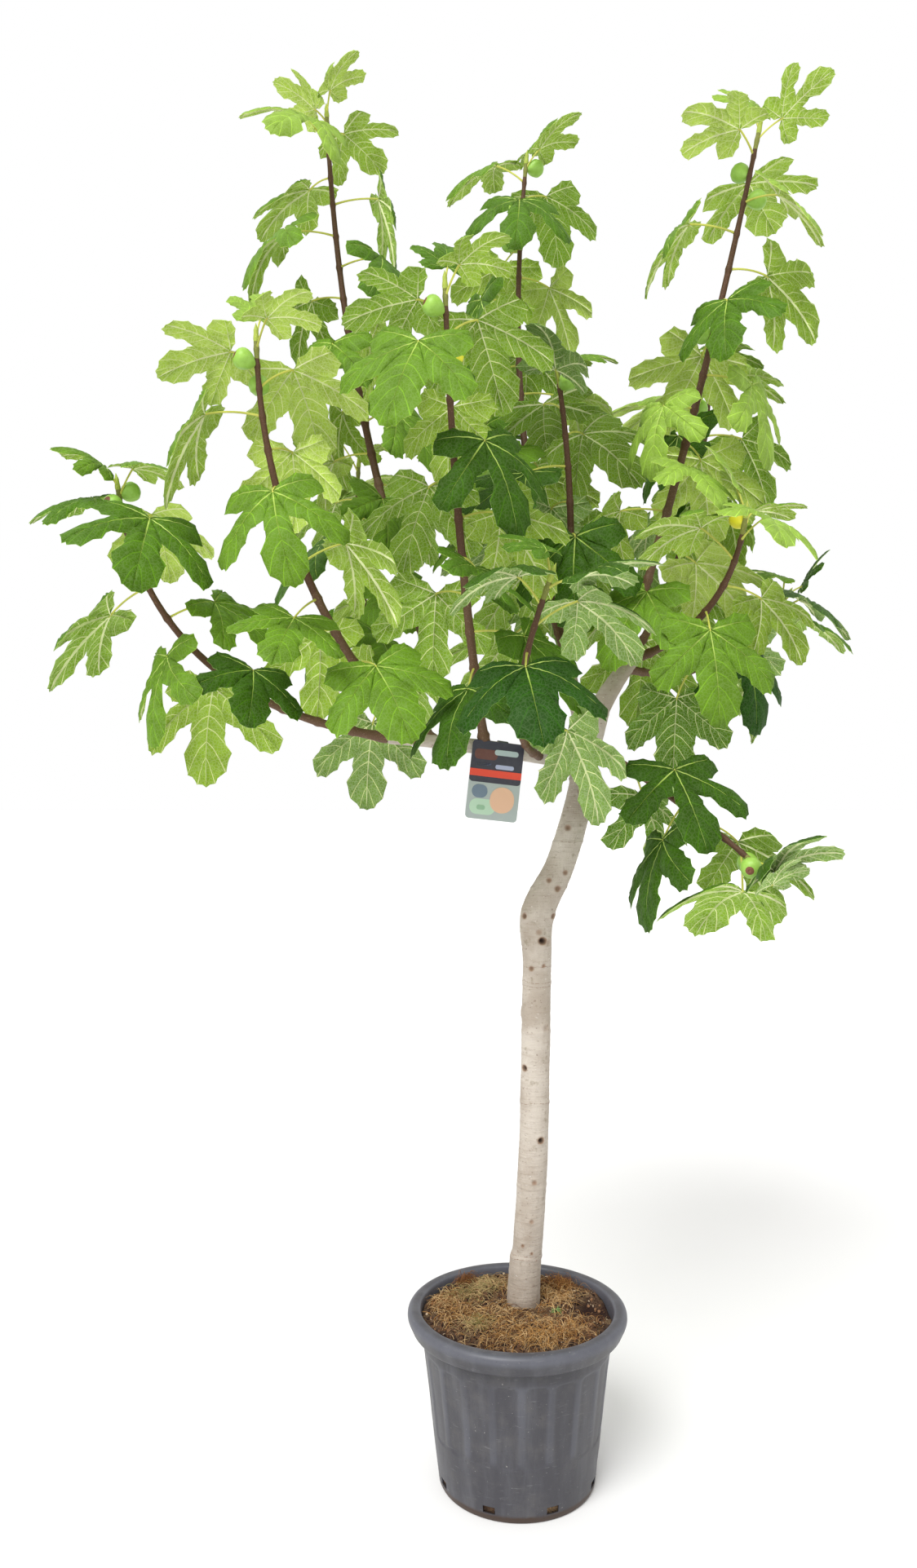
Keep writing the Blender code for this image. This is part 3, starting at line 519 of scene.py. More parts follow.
crumb_finishes = [finish(n, srgb(*c), 0.92, specular=0.2)[0] for n, c in (
    ("dark_crumb", (46, 32, 26)), ("brown_crumb", (98, 72, 54)), ("bark_crumb", (138, 102, 74)),
    ("pale_crumb", (192, 170, 142)))]
crumbs = joined_mesh("soil_crumbs", np.concatenate(corners), np.concatenate(faces), crumb_finishes,
                     np.concatenate(kinds), smooth=False)

# Where the fibres mat together: middle, spread, how much they stand up, and which fibre it is.
MATS = (((-0.105, 0.075), 0.055, 0.25, (1, 1, 0, 4)), ((-0.060, 0.120), 0.040, 0.25, (1, 4, 1)),
        ((-0.125, -0.020), 0.045, 0.30, (2, 4, 3)), ((-0.035, -0.020), 0.060, 0.20, (4, 4, 2, 3)),
        ((-0.040, -0.115), 0.060, 0.30, (3, 2, 4)), ((0.040, -0.115), 0.050, 0.45, (2, 2, 4)),
        ((0.095, -0.085), 0.045, 0.50, (2, 4, 5)), ((0.085, 0.060), 0.045, 0.30, (4, 2, 4)),
        ((0.105, 0.130), 0.034, 0.70, (5, 2, 5)), ((-0.110, 0.148), 0.016, 0.80, (5, 3, 5)),
        ((-0.150, 0.040), 0.030, 0.30, (5, 4)), ((-0.080, -0.060), 0.030, 0.25, (0, 1, 4)),
        ((0.030, 0.110), 0.050, 0.20, (3, 4, 3)))


def tube_faces(rings, sides):
    """Faces of a closed tube of so many rings of corners: its walls and then its two ends."""
    faces = []
    for i in range(rings - 1):
        for j in range(sides):
            a, b = i * sides + j, i * sides + (j + 1) % sides
            faces.append((a, b, b + sides, a + sides))
    return [*faces, tuple(reversed(range(sides))), tuple(range((rings - 1) * sides, rings * sides))]


def gather(corners, faces, points, sides):
    """Adds a shape's corners and faces to those gathered so far."""
    faces += [tuple(k + len(corners) for k in face) for face in sides]
    corners += points


def strand(start, heading, length, radius, rise, twist, steps=5, sides=3):
    """Corners and faces of a thin strand that arches up and comes down again."""
    corners = []
    for i in range(steps + 1):
        share = i / steps
        across = Vector((-heading.y, heading.x, 0))
        middle = start + heading * length * share + across * twist * share * share
        middle.z += rise * math.sin(math.pi * share)
        thin = radius * (1 - 0.6 * share)
        for j in range(sides):
            angle = 2 * math.pi * j / sides
            corners.append(middle + thin * (math.cos(angle) * across + math.sin(angle) * UP))
    return corners, tube_faces(steps + 1, sides)


corners, faces, kinds = [], [], []
for i in range(FIBRES):
    if i % 5:
        (x, y), spread, standing, choice = MATS[i % len(MATS)]
        x, y = x + soil_rule.gauss(0, spread / 2), y + soil_rule.gauss(0, spread / 2)
        kind = soil_rule.choice(choice)
        if math.hypot(x, y) > edge - 0.003:
            x, y = soil_spot()
    else:
        x, y = soil_spot()
        standing, kind = 0.2, soil_rule.choice((2, 3, 3, 4))
    if math.hypot(x - HOLLOW_PLACE[0], y - HOLLOW_PLACE[1]) < HOLLOW_RADIUS * 0.85 and i % 9:
        continue
    angle = soil_rule.uniform(0, 2 * math.pi)
    length = soil_rule.uniform(*FIBRE_LENGTHS)
    heading = Vector((math.cos(angle), math.sin(angle), 0))
    if math.hypot(x + heading.x * length, y + heading.y * length) > edge:
        heading = -Vector((x, y, 0)).normalized()
    start = Vector((x, y, soil_height(x, y) + 0.0004))
    radius = FIBRE_RADIUS * soil_rule.uniform(0.6, 1.5)
    rise = length * soil_rule.uniform(0.05, 0.2 + standing)
    twist = length * soil_rule.uniform(-0.9, 0.9)
    points, sides = strand(start, heading, length, radius, rise, twist)
    gather(corners, faces, points, sides)
    kinds += [kind] * len(sides)
fibre_finishes = [finish(n, srgb(*c), 0.85, specular=0.2)[0] for n, c in (
    ("olive_moss", (124, 114, 66)), ("grey_green_moss", (160, 144, 98)),
    ("golden_fibre", (176, 132, 76)), ("brown_fibre", (96, 64, 42)),
    ("tan_fibre", (196, 164, 118)), ("rust_fibre", (134, 90, 52)),
)]
moss = joined_mesh("moss_and_fibres", corners, faces, fibre_finishes, kinds, smooth=False)

corners, faces = [], []
for i in range(WEED_LEAVES):
    angle = i * 2.4
    heading = Vector((math.cos(angle), math.sin(angle), 0))
    length = 0.005 + 0.009 * soil_rule.random()
    away = heading * 0.004 * soil_rule.random()
    start = Vector((*WEED_PLACE, soil_height(*WEED_PLACE))) + away
    rise = 0.010 * soil_rule.random()
    gather(corners, faces, *strand(start, heading, length, WEED_RADIUS, rise, twist=0.003))
weed_green = finish("weed_green", srgb(132, 158, 92), 0.6)[0]
weed = joined_mesh("seedling_weed", corners, faces, [weed_green])
for piece in (soil, crumbs, moss, weed):
    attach(piece, "root")
    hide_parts("potting_soil")


# Trunk and its three main boughs: one living piece of pale grey-beige bark over wood, drawn up
# from a single stem. Old leaf scars ring it, pruned side shoots have healed to knots and holes
# whose dark middles are painted shade, and the top is bent where the leader was taken off. Its foot
# stands in the soil.
TRUNK = (
    ((0.0145, 0.030, SOIL_TOP_HEIGHT), 0.0350),
    ((0.0192, 0.032, 0.430), 0.0335),
    ((0.0239, 0.0325, 0.462), 0.0312),
    ((0.035, 0.035, 0.640), 0.0310),
    ((0.040, 0.035, 0.835), 0.0300),
    ((0.043, 0.032, 1.043), 0.0300),
    ((0.0445, 0.031, 1.150), 0.0355),
    ((0.0880, 0.030, 1.245), 0.0312),
    ((0.127, 0.030, 1.372), 0.0285),
    ((0.151, 0.030, 1.499), 0.0260),
    ((0.173, 0.030, 1.578), 0.0230),
)
Bough = namedtuple("Bough", "foot knee tip thick thin")
MAIN_BOUGHS = {
    "bough_left": Bough(
        (0.140, 0.030, 1.462), (-0.052, -0.030, 1.492), (-0.262, -0.060, 1.513),
        thick=0.0185, thin=0.0125,
    ),
    "bough_centre": Bough(
        (0.150, 0.030, 1.500), (0.124, 0.080, 1.612), (0.110, 0.100, 1.712),
        thick=0.0170, thin=0.0135,
    ),
    "bough_right": Bough(
        (0.173, 0.030, 1.578), (0.205, 0.030, 1.630), (0.240, 0.035, 1.678),
        thick=0.0225, thin=0.0155,
    ),
}
LINE_STEPS = 40
TRUNK_TUCK = 0.014
SMOOTH_STEPS = 10
BARK_VOXEL = 0.0026
BARK_SOFTENING = 8

# Marks on the bark: place from the left and height, how far each spreads, how far it stands out,
# how deep its middle is sunk and how dark it is. Those at the back are seeded.
Mark = namedtuple("Mark", "x z spread rise sink dark")
FRONT_MARKS = (
    Mark(0.051, 1.098, 0.0100, 0.0030, 0.0070, 1.0),
    Mark(0.062, 1.094, 0.0095, 0.0030, 0.0, 0.25),
    Mark(0.045, 1.116, 0.0080, 0.0010, 0.0, 0.35),
    Mark(0.017, 0.833, 0.0085, 0.0022, 0.0045, 0.9),
    Mark(0.049, 0.686, 0.0085, 0.0022, 0.0048, 1.0),
    Mark(0.017, 1.148, 0.0080, 0.0026, 0.0018, 0.7),
    Mark(0.073, 1.148, 0.0085, 0.0030, 0.0012, 0.6),
    Mark(0.030, 1.040, 0.0070, 0.0020, 0.0012, 0.6),
    Mark(0.055, 1.046, 0.0055, 0.0014, 0.0008, 0.5),
    Mark(0.059, 0.917, 0.0090, 0.0028, 0.0, 0.2),
    Mark(0.0055, 0.741, 0.0090, 0.0028, 0.0, 0.2),
    Mark(0.036, 0.600, 0.0070, 0.0016, 0.0010, 0.45),
    Mark(0.012, 0.470, 0.0045, 0.0012, 0.0010, 0.6),
    Mark(0.030, 0.455, 0.0040, 0.0012, 0.0010, 0.6),
    Mark(0.153, 1.593, 0.0120, 0.0025, 0.0020, 0.7),
    Mark(0.105, 1.330, 0.0080, 0.0022, 0.0012, 0.5),
    Mark(0.083, 1.205, 0.0085, 0.0020, 0.0014, 0.6),
    Mark(0.066, 1.222, 0.0070, 0.0018, 0.0010, 0.5),
    Mark(0.099, 1.238, 0.0075, 0.0018, 0.0012, 0.5),
    Mark(0.132, 1.404, 0.0080, 0.0020, 0.0012, 0.5),
    Mark(0.030, 0.520, 0.0060, 0.0015, 0.0008, 0.4),
)
BACK_MARKS = 14
GROWTH_RINGS = (0.440, 0.587, 0.760, 0.905, 1.0075, 1.205, 1.300, 1.430)
RING_HALF = 0.0035
RING_RISE = 0.0010
CRACK_HEIGHTS = (0.440, 0.447, 0.760, 1.003, 1.0115, 1.043, 1.300)
CRACK_HALF = 0.0011


def bent_line(foot, knee, tip, count):
    """Evenly drawn points on the curve that starts at foot, passes knee and ends at tip."""
    foot, knee, tip = Vector(foot), Vector(knee), Vector(tip)
    first, second = (knee - foot).length, (tip - knee).length
    at_knee = first / (first + second)
    pull = (knee - foot * (1 - at_knee) ** 2 - tip * at_knee**2) / (2 * at_knee * (1 - at_knee))
    points = []
    for i in range(count + 1):
        s = i / count
        points.append(foot * (1 - s) ** 2 + pull * (2 * s * (1 - s)) + tip * s**2)
    return points


def smooth_line(stations, steps):
    """Points and radii on a smooth curve through the stations, each a point and a radius."""
    middles = [Vector(point) for point, _ in stations]
    radii = [radius for _, radius in stations]
    middles = [2 * middles[0] - middles[1], *middles, 2 * middles[-1] - middles[-2]]
    radii = [radii[0], *radii, radii[-1]]
    points, widths = [], []
    for i in range(1, len(middles) - 2):
        for j in range(steps):
            s = j / steps
            weights = (
                (-s + 2 * s**2 - s**3) / 2,
                (2 - 5 * s**2 + 3 * s**3) / 2,
                (s + 4 * s**2 - 3 * s**3) / 2,
                (-(s**2) + s**3) / 2,
            )
            window = middles[i - 1 : i + 3]
            points.append(sum((p * w for p, w in zip(window, weights)), Vector((0, 0, 0))))
            widths.append(radii[i] * (1 - s) + radii[i + 1] * s)
    points.append(middles[-2])
    widths.append(radii[-2])
    return points, widths


def place_on(points, distance):
    """The point and the direction at this distance from the line's start."""
    for i in range(1, len(points)):
        step = points[i] - points[i - 1]
        if distance <= step.length or i == len(points) - 1:
            return points[i - 1] + step * (distance / step.length), step.normalized()
        distance -= step.length


def line_length(points):
    return sum((b - a).length for a, b in zip(points, points[1:]))


def taper(thick, thin, count):
    return [thick + (thin - thick) * i / count for i in range(count + 1)]


def round_limb(points, radii):
    """A round closed limb drawn along the points."""
    bpy.ops.object.select_all(action="DESELECT")
    bpy.ops.curve.primitive_nurbs_path_add()
    drawn = bpy.context.object.data
    drawn.splines.clear()
    line = drawn.splines.new("POLY")
    line.points.add(len(points) - 1)
    for slot, point, radius in zip(line.points, points, radii):
        slot.co = (*point, 1)
        slot.radius = radius
    drawn.bevel_depth = 1
    drawn.bevel_resolution = 6
    drawn.use_fill_caps = True
    bpy.ops.object.convert(target="MESH")
    return bpy.context.object


trunk_points, trunk_radii = smooth_line(TRUNK, SMOOTH_STEPS)
trunk_points.insert(0, trunk_points[0] - UP * TRUNK_TUCK)
trunk_radii.insert(0, trunk_radii[0])
limbs = [round_limb(trunk_points, trunk_radii)]
for bough in MAIN_BOUGHS.values():
    points = bent_line(bough.foot, bough.knee, bough.tip, LINE_STEPS)
    limbs.append(round_limb(points, taper(bough.thick, bough.thin, LINE_STEPS)))
select_only(*limbs)
bpy.ops.object.join()
trunk = bpy.context.object
trunk.name = trunk.data.name = "trunk_and_boughs"
step = trunk.modifiers.new("grow_together", "REMESH")
step.mode = "VOXEL"
step.voxel_size = BARK_VOXEL
step = trunk.modifiers.new("soften", "SMOOTH")
step.factor = 0.5
step.iterations = BARK_SOFTENING
apply_all(trunk)

trunk_search = BVHTree.FromObject(trunk, bpy.context.evaluated_depsgraph_get())
bark_rule = random.Random(12)
marks = []
for mark in FRONT_MARKS:
    place, _, _, _ = trunk_search.ray_cast(Vector((mark.x, -1, mark.z)), Vector((0, 1, 0)))
    if place is not None:
        marks.append((place, mark))
for _ in range(BACK_MARKS):
    angle = bark_rule.uniform(math.radians(20), math.radians(160))
    height = bark_rule.uniform(0.42, 1.50)
    aim = min(trunk_points, key=lambda p: abs(p.z - height))
    outward = Vector((math.cos(angle), math.sin(angle), 0))
    place, _, _, _ = trunk_search.ray_cast(aim + outward * 0.5, -outward)
    if place is not None:
        sink = bark_rule.choice((0.0, 0.001, 0.004))
        spread_out = bark_rule.uniform(0.006, 0.010)
        marks.append((place, Mark(0, 0, spread_out, 0.0022, sink, bark_rule.uniform(0.1, 1))))

normals = [corner.normal.copy() for corner in trunk.data.vertices]
wound_and_hole_shade = trunk.data.attributes.new("wound_and_hole_shade", "FLOAT", "POINT")
for corner, normal, dark in zip(trunk.data.vertices, normals, wound_and_hole_shade.data):
    spot = corner.co.copy()
    lift = 0.0011 * noise.noise(spot * 14)
    lift += 0.0005 * noise.noise(Vector((spot.x * 60, spot.y * 60, spot.z * 150)))
    for height in GROWTH_RINGS:
        off = (spot.z - height - 0.004 * noise.noise(spot * 30)) / RING_HALF
        lift += RING_RISE * math.exp(-(off**2))
    for place, mark in marks:
        away = (spot - place).length / mark.spread
        if away < 2.5:
            lift += mark.rise * math.exp(-((away - 0.9) ** 2) * 3)
            lift -= mark.sink * math.exp(-(away * 1.9) ** 2)
            dark.value = max(dark.value, mark.dark * math.exp(-(away * 1.25) ** 4))
    corner.co = spot + normal * lift
bpy.ops.object.shade_smooth()

bark, shader = finish("pale_fig_bark", srgb(196, 188, 176), 0.86, specular=0.25)
tree = bark.node_tree
clouds = blotches(tree, place_of(tree), 9.0, 0.36, 0.66)
stripes = blotches(tree, place_of(tree, (22, 22, 230)), 1.0, 0.50, 0.72)
lenticels = blotches(tree, place_of(tree, (85, 85, 300)), 1.0, 0.635, 0.69)
pores = blotches(tree, place_of(tree, (130, 130, 210)), 1.0, 0.61, 0.67)
grain = blotches(tree, place_of(tree, (420, 420, 60)), 1.0, 0.35, 0.70)
crust = blotches(tree, place_of(tree), 46.0, 0.58, 0.70)
colour = tint(tree, srgb(200, 191, 180), srgb(172, 160, 147), clouds.outputs["Mask"])
colour = coated(
    tree, colour,
    ((154, 138, 122), stripes.outputs["Mask"], 0.40),
    ((236, 230, 222), lenticels.outputs["Mask"], 0.80),
    ((116, 98, 86), pores.outputs["Mask"], 0.60),
    ((132, 120, 98), crust.outputs["Mask"], 0.52),
    ((140, 126, 112), low_down(tree, 0.36, 0.95), 0.34),
    ((120, 100, 80), low_down(tree, 0.345, 0.375), 0.45),
)
wave = maths(tree, "SUBTRACT", share_of(tree, clouds.outputs["Height"], 0.030), 0.015)
wavy = maths(tree, "ADD", height_of(tree), wave)
for height in CRACK_HEIGHTS:
    away = maths(tree, "ABSOLUTE", maths(tree, "SUBTRACT", wavy, height), 0.0)
    crack = remap(tree, away, CRACK_HALF, CRACK_HALF * 0.3)
    broken = maths(tree, "MULTIPLY", crack, grain.outputs["Mask"])
    colour = coated(tree, colour, ((112, 78, 56), broken, 0.85))
# Brown is the scars' own colour; the near-black that deepens the middles of the darkest, sunk marks
# is painted shade.
dark = node(tree, "ShaderNodeAttribute", attribute_name="wound_and_hole_shade").outputs["Fac"]
brown = maths(tree, "MINIMUM", share_of(tree, dark, 2.2), 1.0)
deep = maths(tree, "MAXIMUM", maths(tree, "SUBTRACT", share_of(tree, dark, 1.7), 0.7), 0.0)
colour = coated(tree, colour, ((128, 94, 66), brown, 0.75))
colour = tint(tree, colour, srgb(44, 32, 24), deep)
tree.links.new(colour, shader.inputs["Base Color"])
relief = maths(tree, "ADD", share_of(tree, stripes.outputs["Height"], 1.3), grain.outputs["Height"])
relief = maths(tree, "ADD", relief, share_of(tree, lenticels.outputs["Mask"], 0.6))
bump(tree, shader, relief, 0.6, 0.0024)
trunk.data.materials.clear()
trunk.data.materials.append(bark)
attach(trunk, "root")
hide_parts("trunk", "bough_left", "bough_centre", "bough_right")


# Shoots: this year's and last year's wood, standing on the boughs. Brown bark at the foot turns
# olive and then green, a ring and a swelling mark each old leaf, and a pointed bud closes the tip.
Shoot = namedtuple("Shoot", "foot knee tip stands_on thick bare seed figs")
SHOOTS = {
    "left_low": Shoot(
        (-0.262, -0.060, 1.513), (-0.690, -0.115, 1.745), (-0.786, -0.120, 2.011),
        "bough_left", thick=0.0080, bare=0.30, seed=3285, figs=(1, 2),
    ),
    "left_mid": Shoot(
        (-0.205, -0.057, 1.508), (-0.417, -0.180, 1.837), (-0.494, -0.240, 2.256),
        "bough_left", thick=0.0085, bare=0.14, seed=3012, figs=(2, 3),
    ),
    "front_tall": Shoot(
        (-0.066, -0.034, 1.493), (-0.118, -0.190, 1.900), (-0.145, -0.260, 2.345),
        "bough_left", thick=0.0085, bare=0.12, seed=3012, figs=(2, 4),
    ),
    "front_low": Shoot(
        (0.050, 0.002, 1.476), (-0.010, -0.270, 1.570), (0.040, -0.420, 1.780),
        "bough_left", thick=0.0070, bare=0.10, seed=3361, figs=(),
    ),
    "right_tall": Shoot(
        (0.212, 0.031, 1.640), (0.330, 0.020, 2.050), (0.489, -0.040, 2.752),
        "bough_right", thick=0.0088, bare=0.22, seed=3318, figs=(3, 4, 8),
    ),
    "left_tall": Shoot(
        (-0.110, -0.040, 1.498), (-0.300, 0.100, 2.100), (-0.411, 0.180, 2.907),
        "bough_left", thick=0.0090, bare=0.34, seed=3065, figs=(),
    ),
    "right_mid": Shoot(
        (0.240, 0.035, 1.678), (0.375, -0.050, 1.765), (0.444, -0.110, 1.959),
        "bough_right", thick=0.0075, bare=0.15, seed=3081, figs=(1,),
    ),
    "right_low": Shoot(
        (0.151, 0.030, 1.505), (0.286, -0.160, 1.396), (0.431, -0.310, 1.259),
        "trunk", thick=0.0075, bare=0.12, seed=3392, figs=(1, 2, 3),
    ),
    "centre_mid": Shoot(
        (0.110, 0.100, 1.712), (0.108, 0.020, 2.055), (0.078, -0.010, 2.288),
        "bough_centre", thick=0.0078, bare=0.12, seed=3130, figs=(2,),
    ),
    "back_tall": Shoot(
        (0.112, 0.095, 1.690), (0.042, 0.240, 2.080), (0.040, 0.340, 2.890),
        "bough_centre", thick=0.0085, bare=0.28, seed=3220, figs=(1, 5, 8),
    ),
    "back_right": Shoot(
        (0.192, 0.030, 1.609), (0.400, 0.260, 2.000), (0.470, 0.340, 2.380),
        "bough_right", thick=0.0080, bare=0.22, seed=3370, figs=(3,),
    ),
    "back_left": Shoot(
        (-0.160, -0.048, 1.503), (-0.330, 0.300, 1.800), (-0.360, 0.420, 2.200),
        "bough_left", thick=0.0080, bare=0.22, seed=3105, figs=(2,),
    ),
    "back_mid": Shoot(
        (0.118, 0.088, 1.660), (0.060, 0.380, 1.980), (0.000, 0.520, 2.300),
        "bough_centre", thick=0.0080, bare=0.22, seed=3378, figs=(2,),
    ),
    "back_low": Shoot(
        (0.228, 0.033, 1.660), (0.470, 0.200, 1.700), (0.640, 0.290, 1.860),
        "bough_right", thick=0.0070, bare=0.20, seed=3394, figs=(),
    ),
}
SHOOT_TIP_RADIUS = 0.0038
FIRST_NODE = 0.012
YOUNG_GAP = 0.020
OLD_GAP = 0.072
AGEING = 5
STEM_STEP = 0.0045
STEM_SIDES = 10
NODE_SWELLING = 0.24
NODE_HALF = 0.0055
COLLAR_SWELLING = 0.45
COLLAR_REACH = 0.022
BUD_LENGTH = 0.016
BARK_SHARES = (0.42, 0.74)
GREEN_REACH = (0.050, 0.020)


def tube(points, radii, sides, headings=None, grow=0.0):
    """Corners and faces of a closed tube along the points, with flat ends, grown by so much all
    over."""
    corners = []
    across = None
    last = len(points) - 1
    for i, point in enumerate(points):
        ahead = headings[i] if headings else points[min(i + 1, last)] - points[max(i - 1, 0)]
        ahead = ahead.normalized()
        if across is None:
            across = ahead.orthogonal()
        across = (across - ahead * across.dot(ahead)).normalized()
        other = ahead.cross(across)
        middle = point + ahead * grow * ((i == last) - (i == 0))
        for j in range(sides):
            angle = 2 * math.pi * j / sides
            outward = math.cos(angle) * across + math.sin(angle) * other
            corners.append(middle + (radii[i] + grow) * outward)
    return corners, tube_faces(len(points), sides)


def shoot_line(shoot):
    return bent_line(shoot.foot, shoot.knee, shoot.tip, LINE_STEPS)


def shoot_radius(shoot, share):
    """The shoot's radius at a share of its length from its foot."""
    return shoot.thick + (SHOOT_TIP_RADIUS - shoot.thick) * share


def node_distances(shoot, whole):
    """How far from the tip each node of a shoot stands."""
    found, distance = [], FIRST_NODE
    while distance < whole * 0.97:
        found.append(distance)
        distance += YOUNG_GAP + (OLD_GAP - YOUNG_GAP) * min(1.0, (len(found) - 1) / AGEING)
    return found


corners, faces, kinds = [], [], []
for name, shoot in SHOOTS.items():
    line = shoot_line(shoot)
    whole = line_length(line)
    rings = node_distances(shoot, whole)
    count = int(whole / STEM_STEP)
    points, headings, radii = [], [], []
    for i in range(count + 1):
        point, ahead = place_on(line, whole * i / count)
        from_tip = whole * (1 - i / count)
        radius = shoot_radius(shoot, (i / count) ** 1.6) + 0.0006
        near = min(abs(from_tip - ring) for ring in rings) / NODE_HALF
        radius *= 1 + NODE_SWELLING * math.exp(-near * near) + 0.03 * noise.noise(point * 90)
        radius *= 1 + COLLAR_SWELLING * math.exp(-max(0, whole - from_tip - 0.012) / COLLAR_REACH)
        points.append(point)
        headings.append(ahead)
        radii.append(radius)
    for reach, narrow in ((0.15, 1.06), (0.45, 0.72), (0.8, 0.30), (1.0, 0.06)):
        points.append(points[count] + headings[count] * BUD_LENGTH * reach)
        headings.append(headings[count])
        radii.append(radii[count] * narrow)
    gather(corners, faces, *tube(points, radii, STEM_SIDES, headings))
    for i in range(len(points) - 1):
        share, from_tip = i / count, whole * (1 - i / count)
        kind = sum(share > limit for limit in BARK_SHARES)
        kind += sum(from_tip < reach for reach in GREEN_REACH)
        kinds += [min(kind, 4)] * STEM_SIDES
    kinds += [0, 4]
stem_finishes = []
for name, colour, second in (
    ("old_brown_bark", (98, 72, 52), (138, 112, 90)),
    ("red_brown_bark", (86, 58, 40), (120, 90, 68)),
    ("dark_brown_bark", (80, 54, 34), (112, 84, 56)),
    ("green_bark", (120, 124, 56), (150, 150, 84)),
    ("bud_green", (164, 180, 74), (190, 200, 104)),
):
    made, shader = finish(name, srgb(*colour), 0.62, specular=0.35)
    tree = made.node_tree
    flecks = blotches(tree, place_of(tree), 420.0, 0.56, 0.66)
    flecked = tint(tree, srgb(*colour), srgb(*second), flecks.outputs["Mask"])
    tree.links.new(flecked, shader.inputs["Base Color"])
    bump(tree, shader, flecks.outputs["Height"], 0.4, 0.0015)
    stem_finishes.append(made)
shoots = joined_mesh("shoot_stems", corners, faces, stem_finishes, kinds)
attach(shoots, "root")
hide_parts(*("bough_" + name for name in SHOOTS), *("foliage_" + name for name in SHOOTS))


# Hanging label: a glossy printed card that its own strap holds against the left bough, with its
# top a little above the bough. The print is flat fields of ink on slate: pale drifts, a red band
# and soft rounded shapes.
LABEL_WIDTH = 0.108
LABEL_HEIGHT = 0.158
LABEL_THICKNESS = 0.0012
LABEL_CORNER = 0.008
LABEL_RISE = 0.0135
LABEL_SHIFT = -0.012
STRAP_WIDTH = 0.020
STRAP_SIDES = 40
STRAP_GAP = 0.0009
LABEL_ALONG = 0.44
LABEL_TILT = math.radians(-1)
LABEL_VIEW = 0.50
LABEL_GUARD = (-0.194, 0.0)
INK_LIFT = 0.00025

# Each field of ink: left, bottom, width and height as shares of the card, corner radius, colour.
Ink = namedtuple("Ink", "left low wide high corner colour")
INKS = (
    Ink(0.000, 0.470, 1.00, 0.530, 0.0078, (54, 54, 68)),
    Ink(0.060, 0.760, 0.44, 0.130, 0.0080, (104, 62, 54)),
    Ink(0.440, 0.830, 0.46, 0.070, 0.0050, (176, 192, 196)),
    Ink(0.100, 0.680, 0.30, 0.040, 0.0030, (150, 164, 204)),
    Ink(0.480, 0.655, 0.36, 0.055, 0.0040, (176, 182, 214)),
    Ink(0.000, 0.545, 1.00, 0.090, 0.0005, (236, 74, 48)),
    Ink(0.060, 0.060, 0.50, 0.200, 0.0150, (190, 220, 196)),
    Ink(0.080, 0.270, 0.30, 0.170, 0.0130, (112, 130, 150)),
    Ink(0.440, 0.100, 0.47, 0.330, 0.0240, (236, 190, 160)),
    Ink(0.500, 0.145, 0.35, 0.240, 0.0180, (206, 46, 70)),
    Ink(0.600, 0.210, 0.15, 0.105, 0.0070, (236, 110, 110)),
    Ink(0.200, 0.120, 0.16, 0.060, 0.0040, (150, 190, 158)),
)


def label_place():
    """Where the strap goes round the left bough: the bough's middle there, its radius and the
    label's own axes, with X along the bough and Y to the back."""
    bough = MAIN_BOUGHS["bough_left"]
    line = bent_line(bough.foot, bough.knee, bough.tip, LINE_STEPS)
    middle, ahead = place_on(line, line_length(line) * LABEL_ALONG)
    back = UP.cross(-ahead).normalized()
    axes = Matrix((-ahead, back, (-ahead).cross(back))).transposed()
    return middle, bough.thick + (bough.thin - bough.thick) * LABEL_ALONG, axes


def rounded_plate(name, left, low, wide, high, corner, front, thick, made):
    """A flat plate with rounded corners, its front face towards -Y."""
    bpy.ops.object.select_all(action="DESELECT")
    middle = (left + wide / 2, front + thick / 2, low + high / 2)
    bpy.ops.mesh.primitive_cube_add(size=1, location=middle, scale=(wide, thick, high))
    bpy.ops.object.transform_apply()
    plate = bpy.context.object
    plate.name = plate.data.name = name
    bpy.ops.object.mode_set(mode="EDIT")
    shape = bmesh.from_edit_mesh(plate.data)
    for edge in shape.edges:
        a, b = (v.co for v in edge.verts)
        edge.select_set(abs(a.y - b.y) > thick / 2)
    bmesh.update_edit_mesh(plate.data)
    bpy.ops.mesh.bevel(offset=corner, segments=6)
    bpy.ops.object.mode_set(mode="OBJECT")
    plate.data.materials.append(made)
    return plate


def printed(name, colour):
    """Glossy ink or card, a little worn."""
    made, shader = finish(name, srgb(*colour), 0.32)
    tree = made.node_tree
    worn = blotches(tree, place_of(tree), 60.0, 0.45, 0.75)
    second = tuple(min(255, c * 0.88 + 26) for c in colour)
    faded = coated(tree, srgb(*colour), (second, worn.outputs["Mask"], 0.5))
    tree.links.new(faded, shader.inputs["Base Color"])
    rough = remap(tree, worn.outputs["Height"], 0.0, 1.0, out=(0.22, 0.50), smooth=False)
    tree.links.new(rough, shader.inputs["Roughness"])
    return made


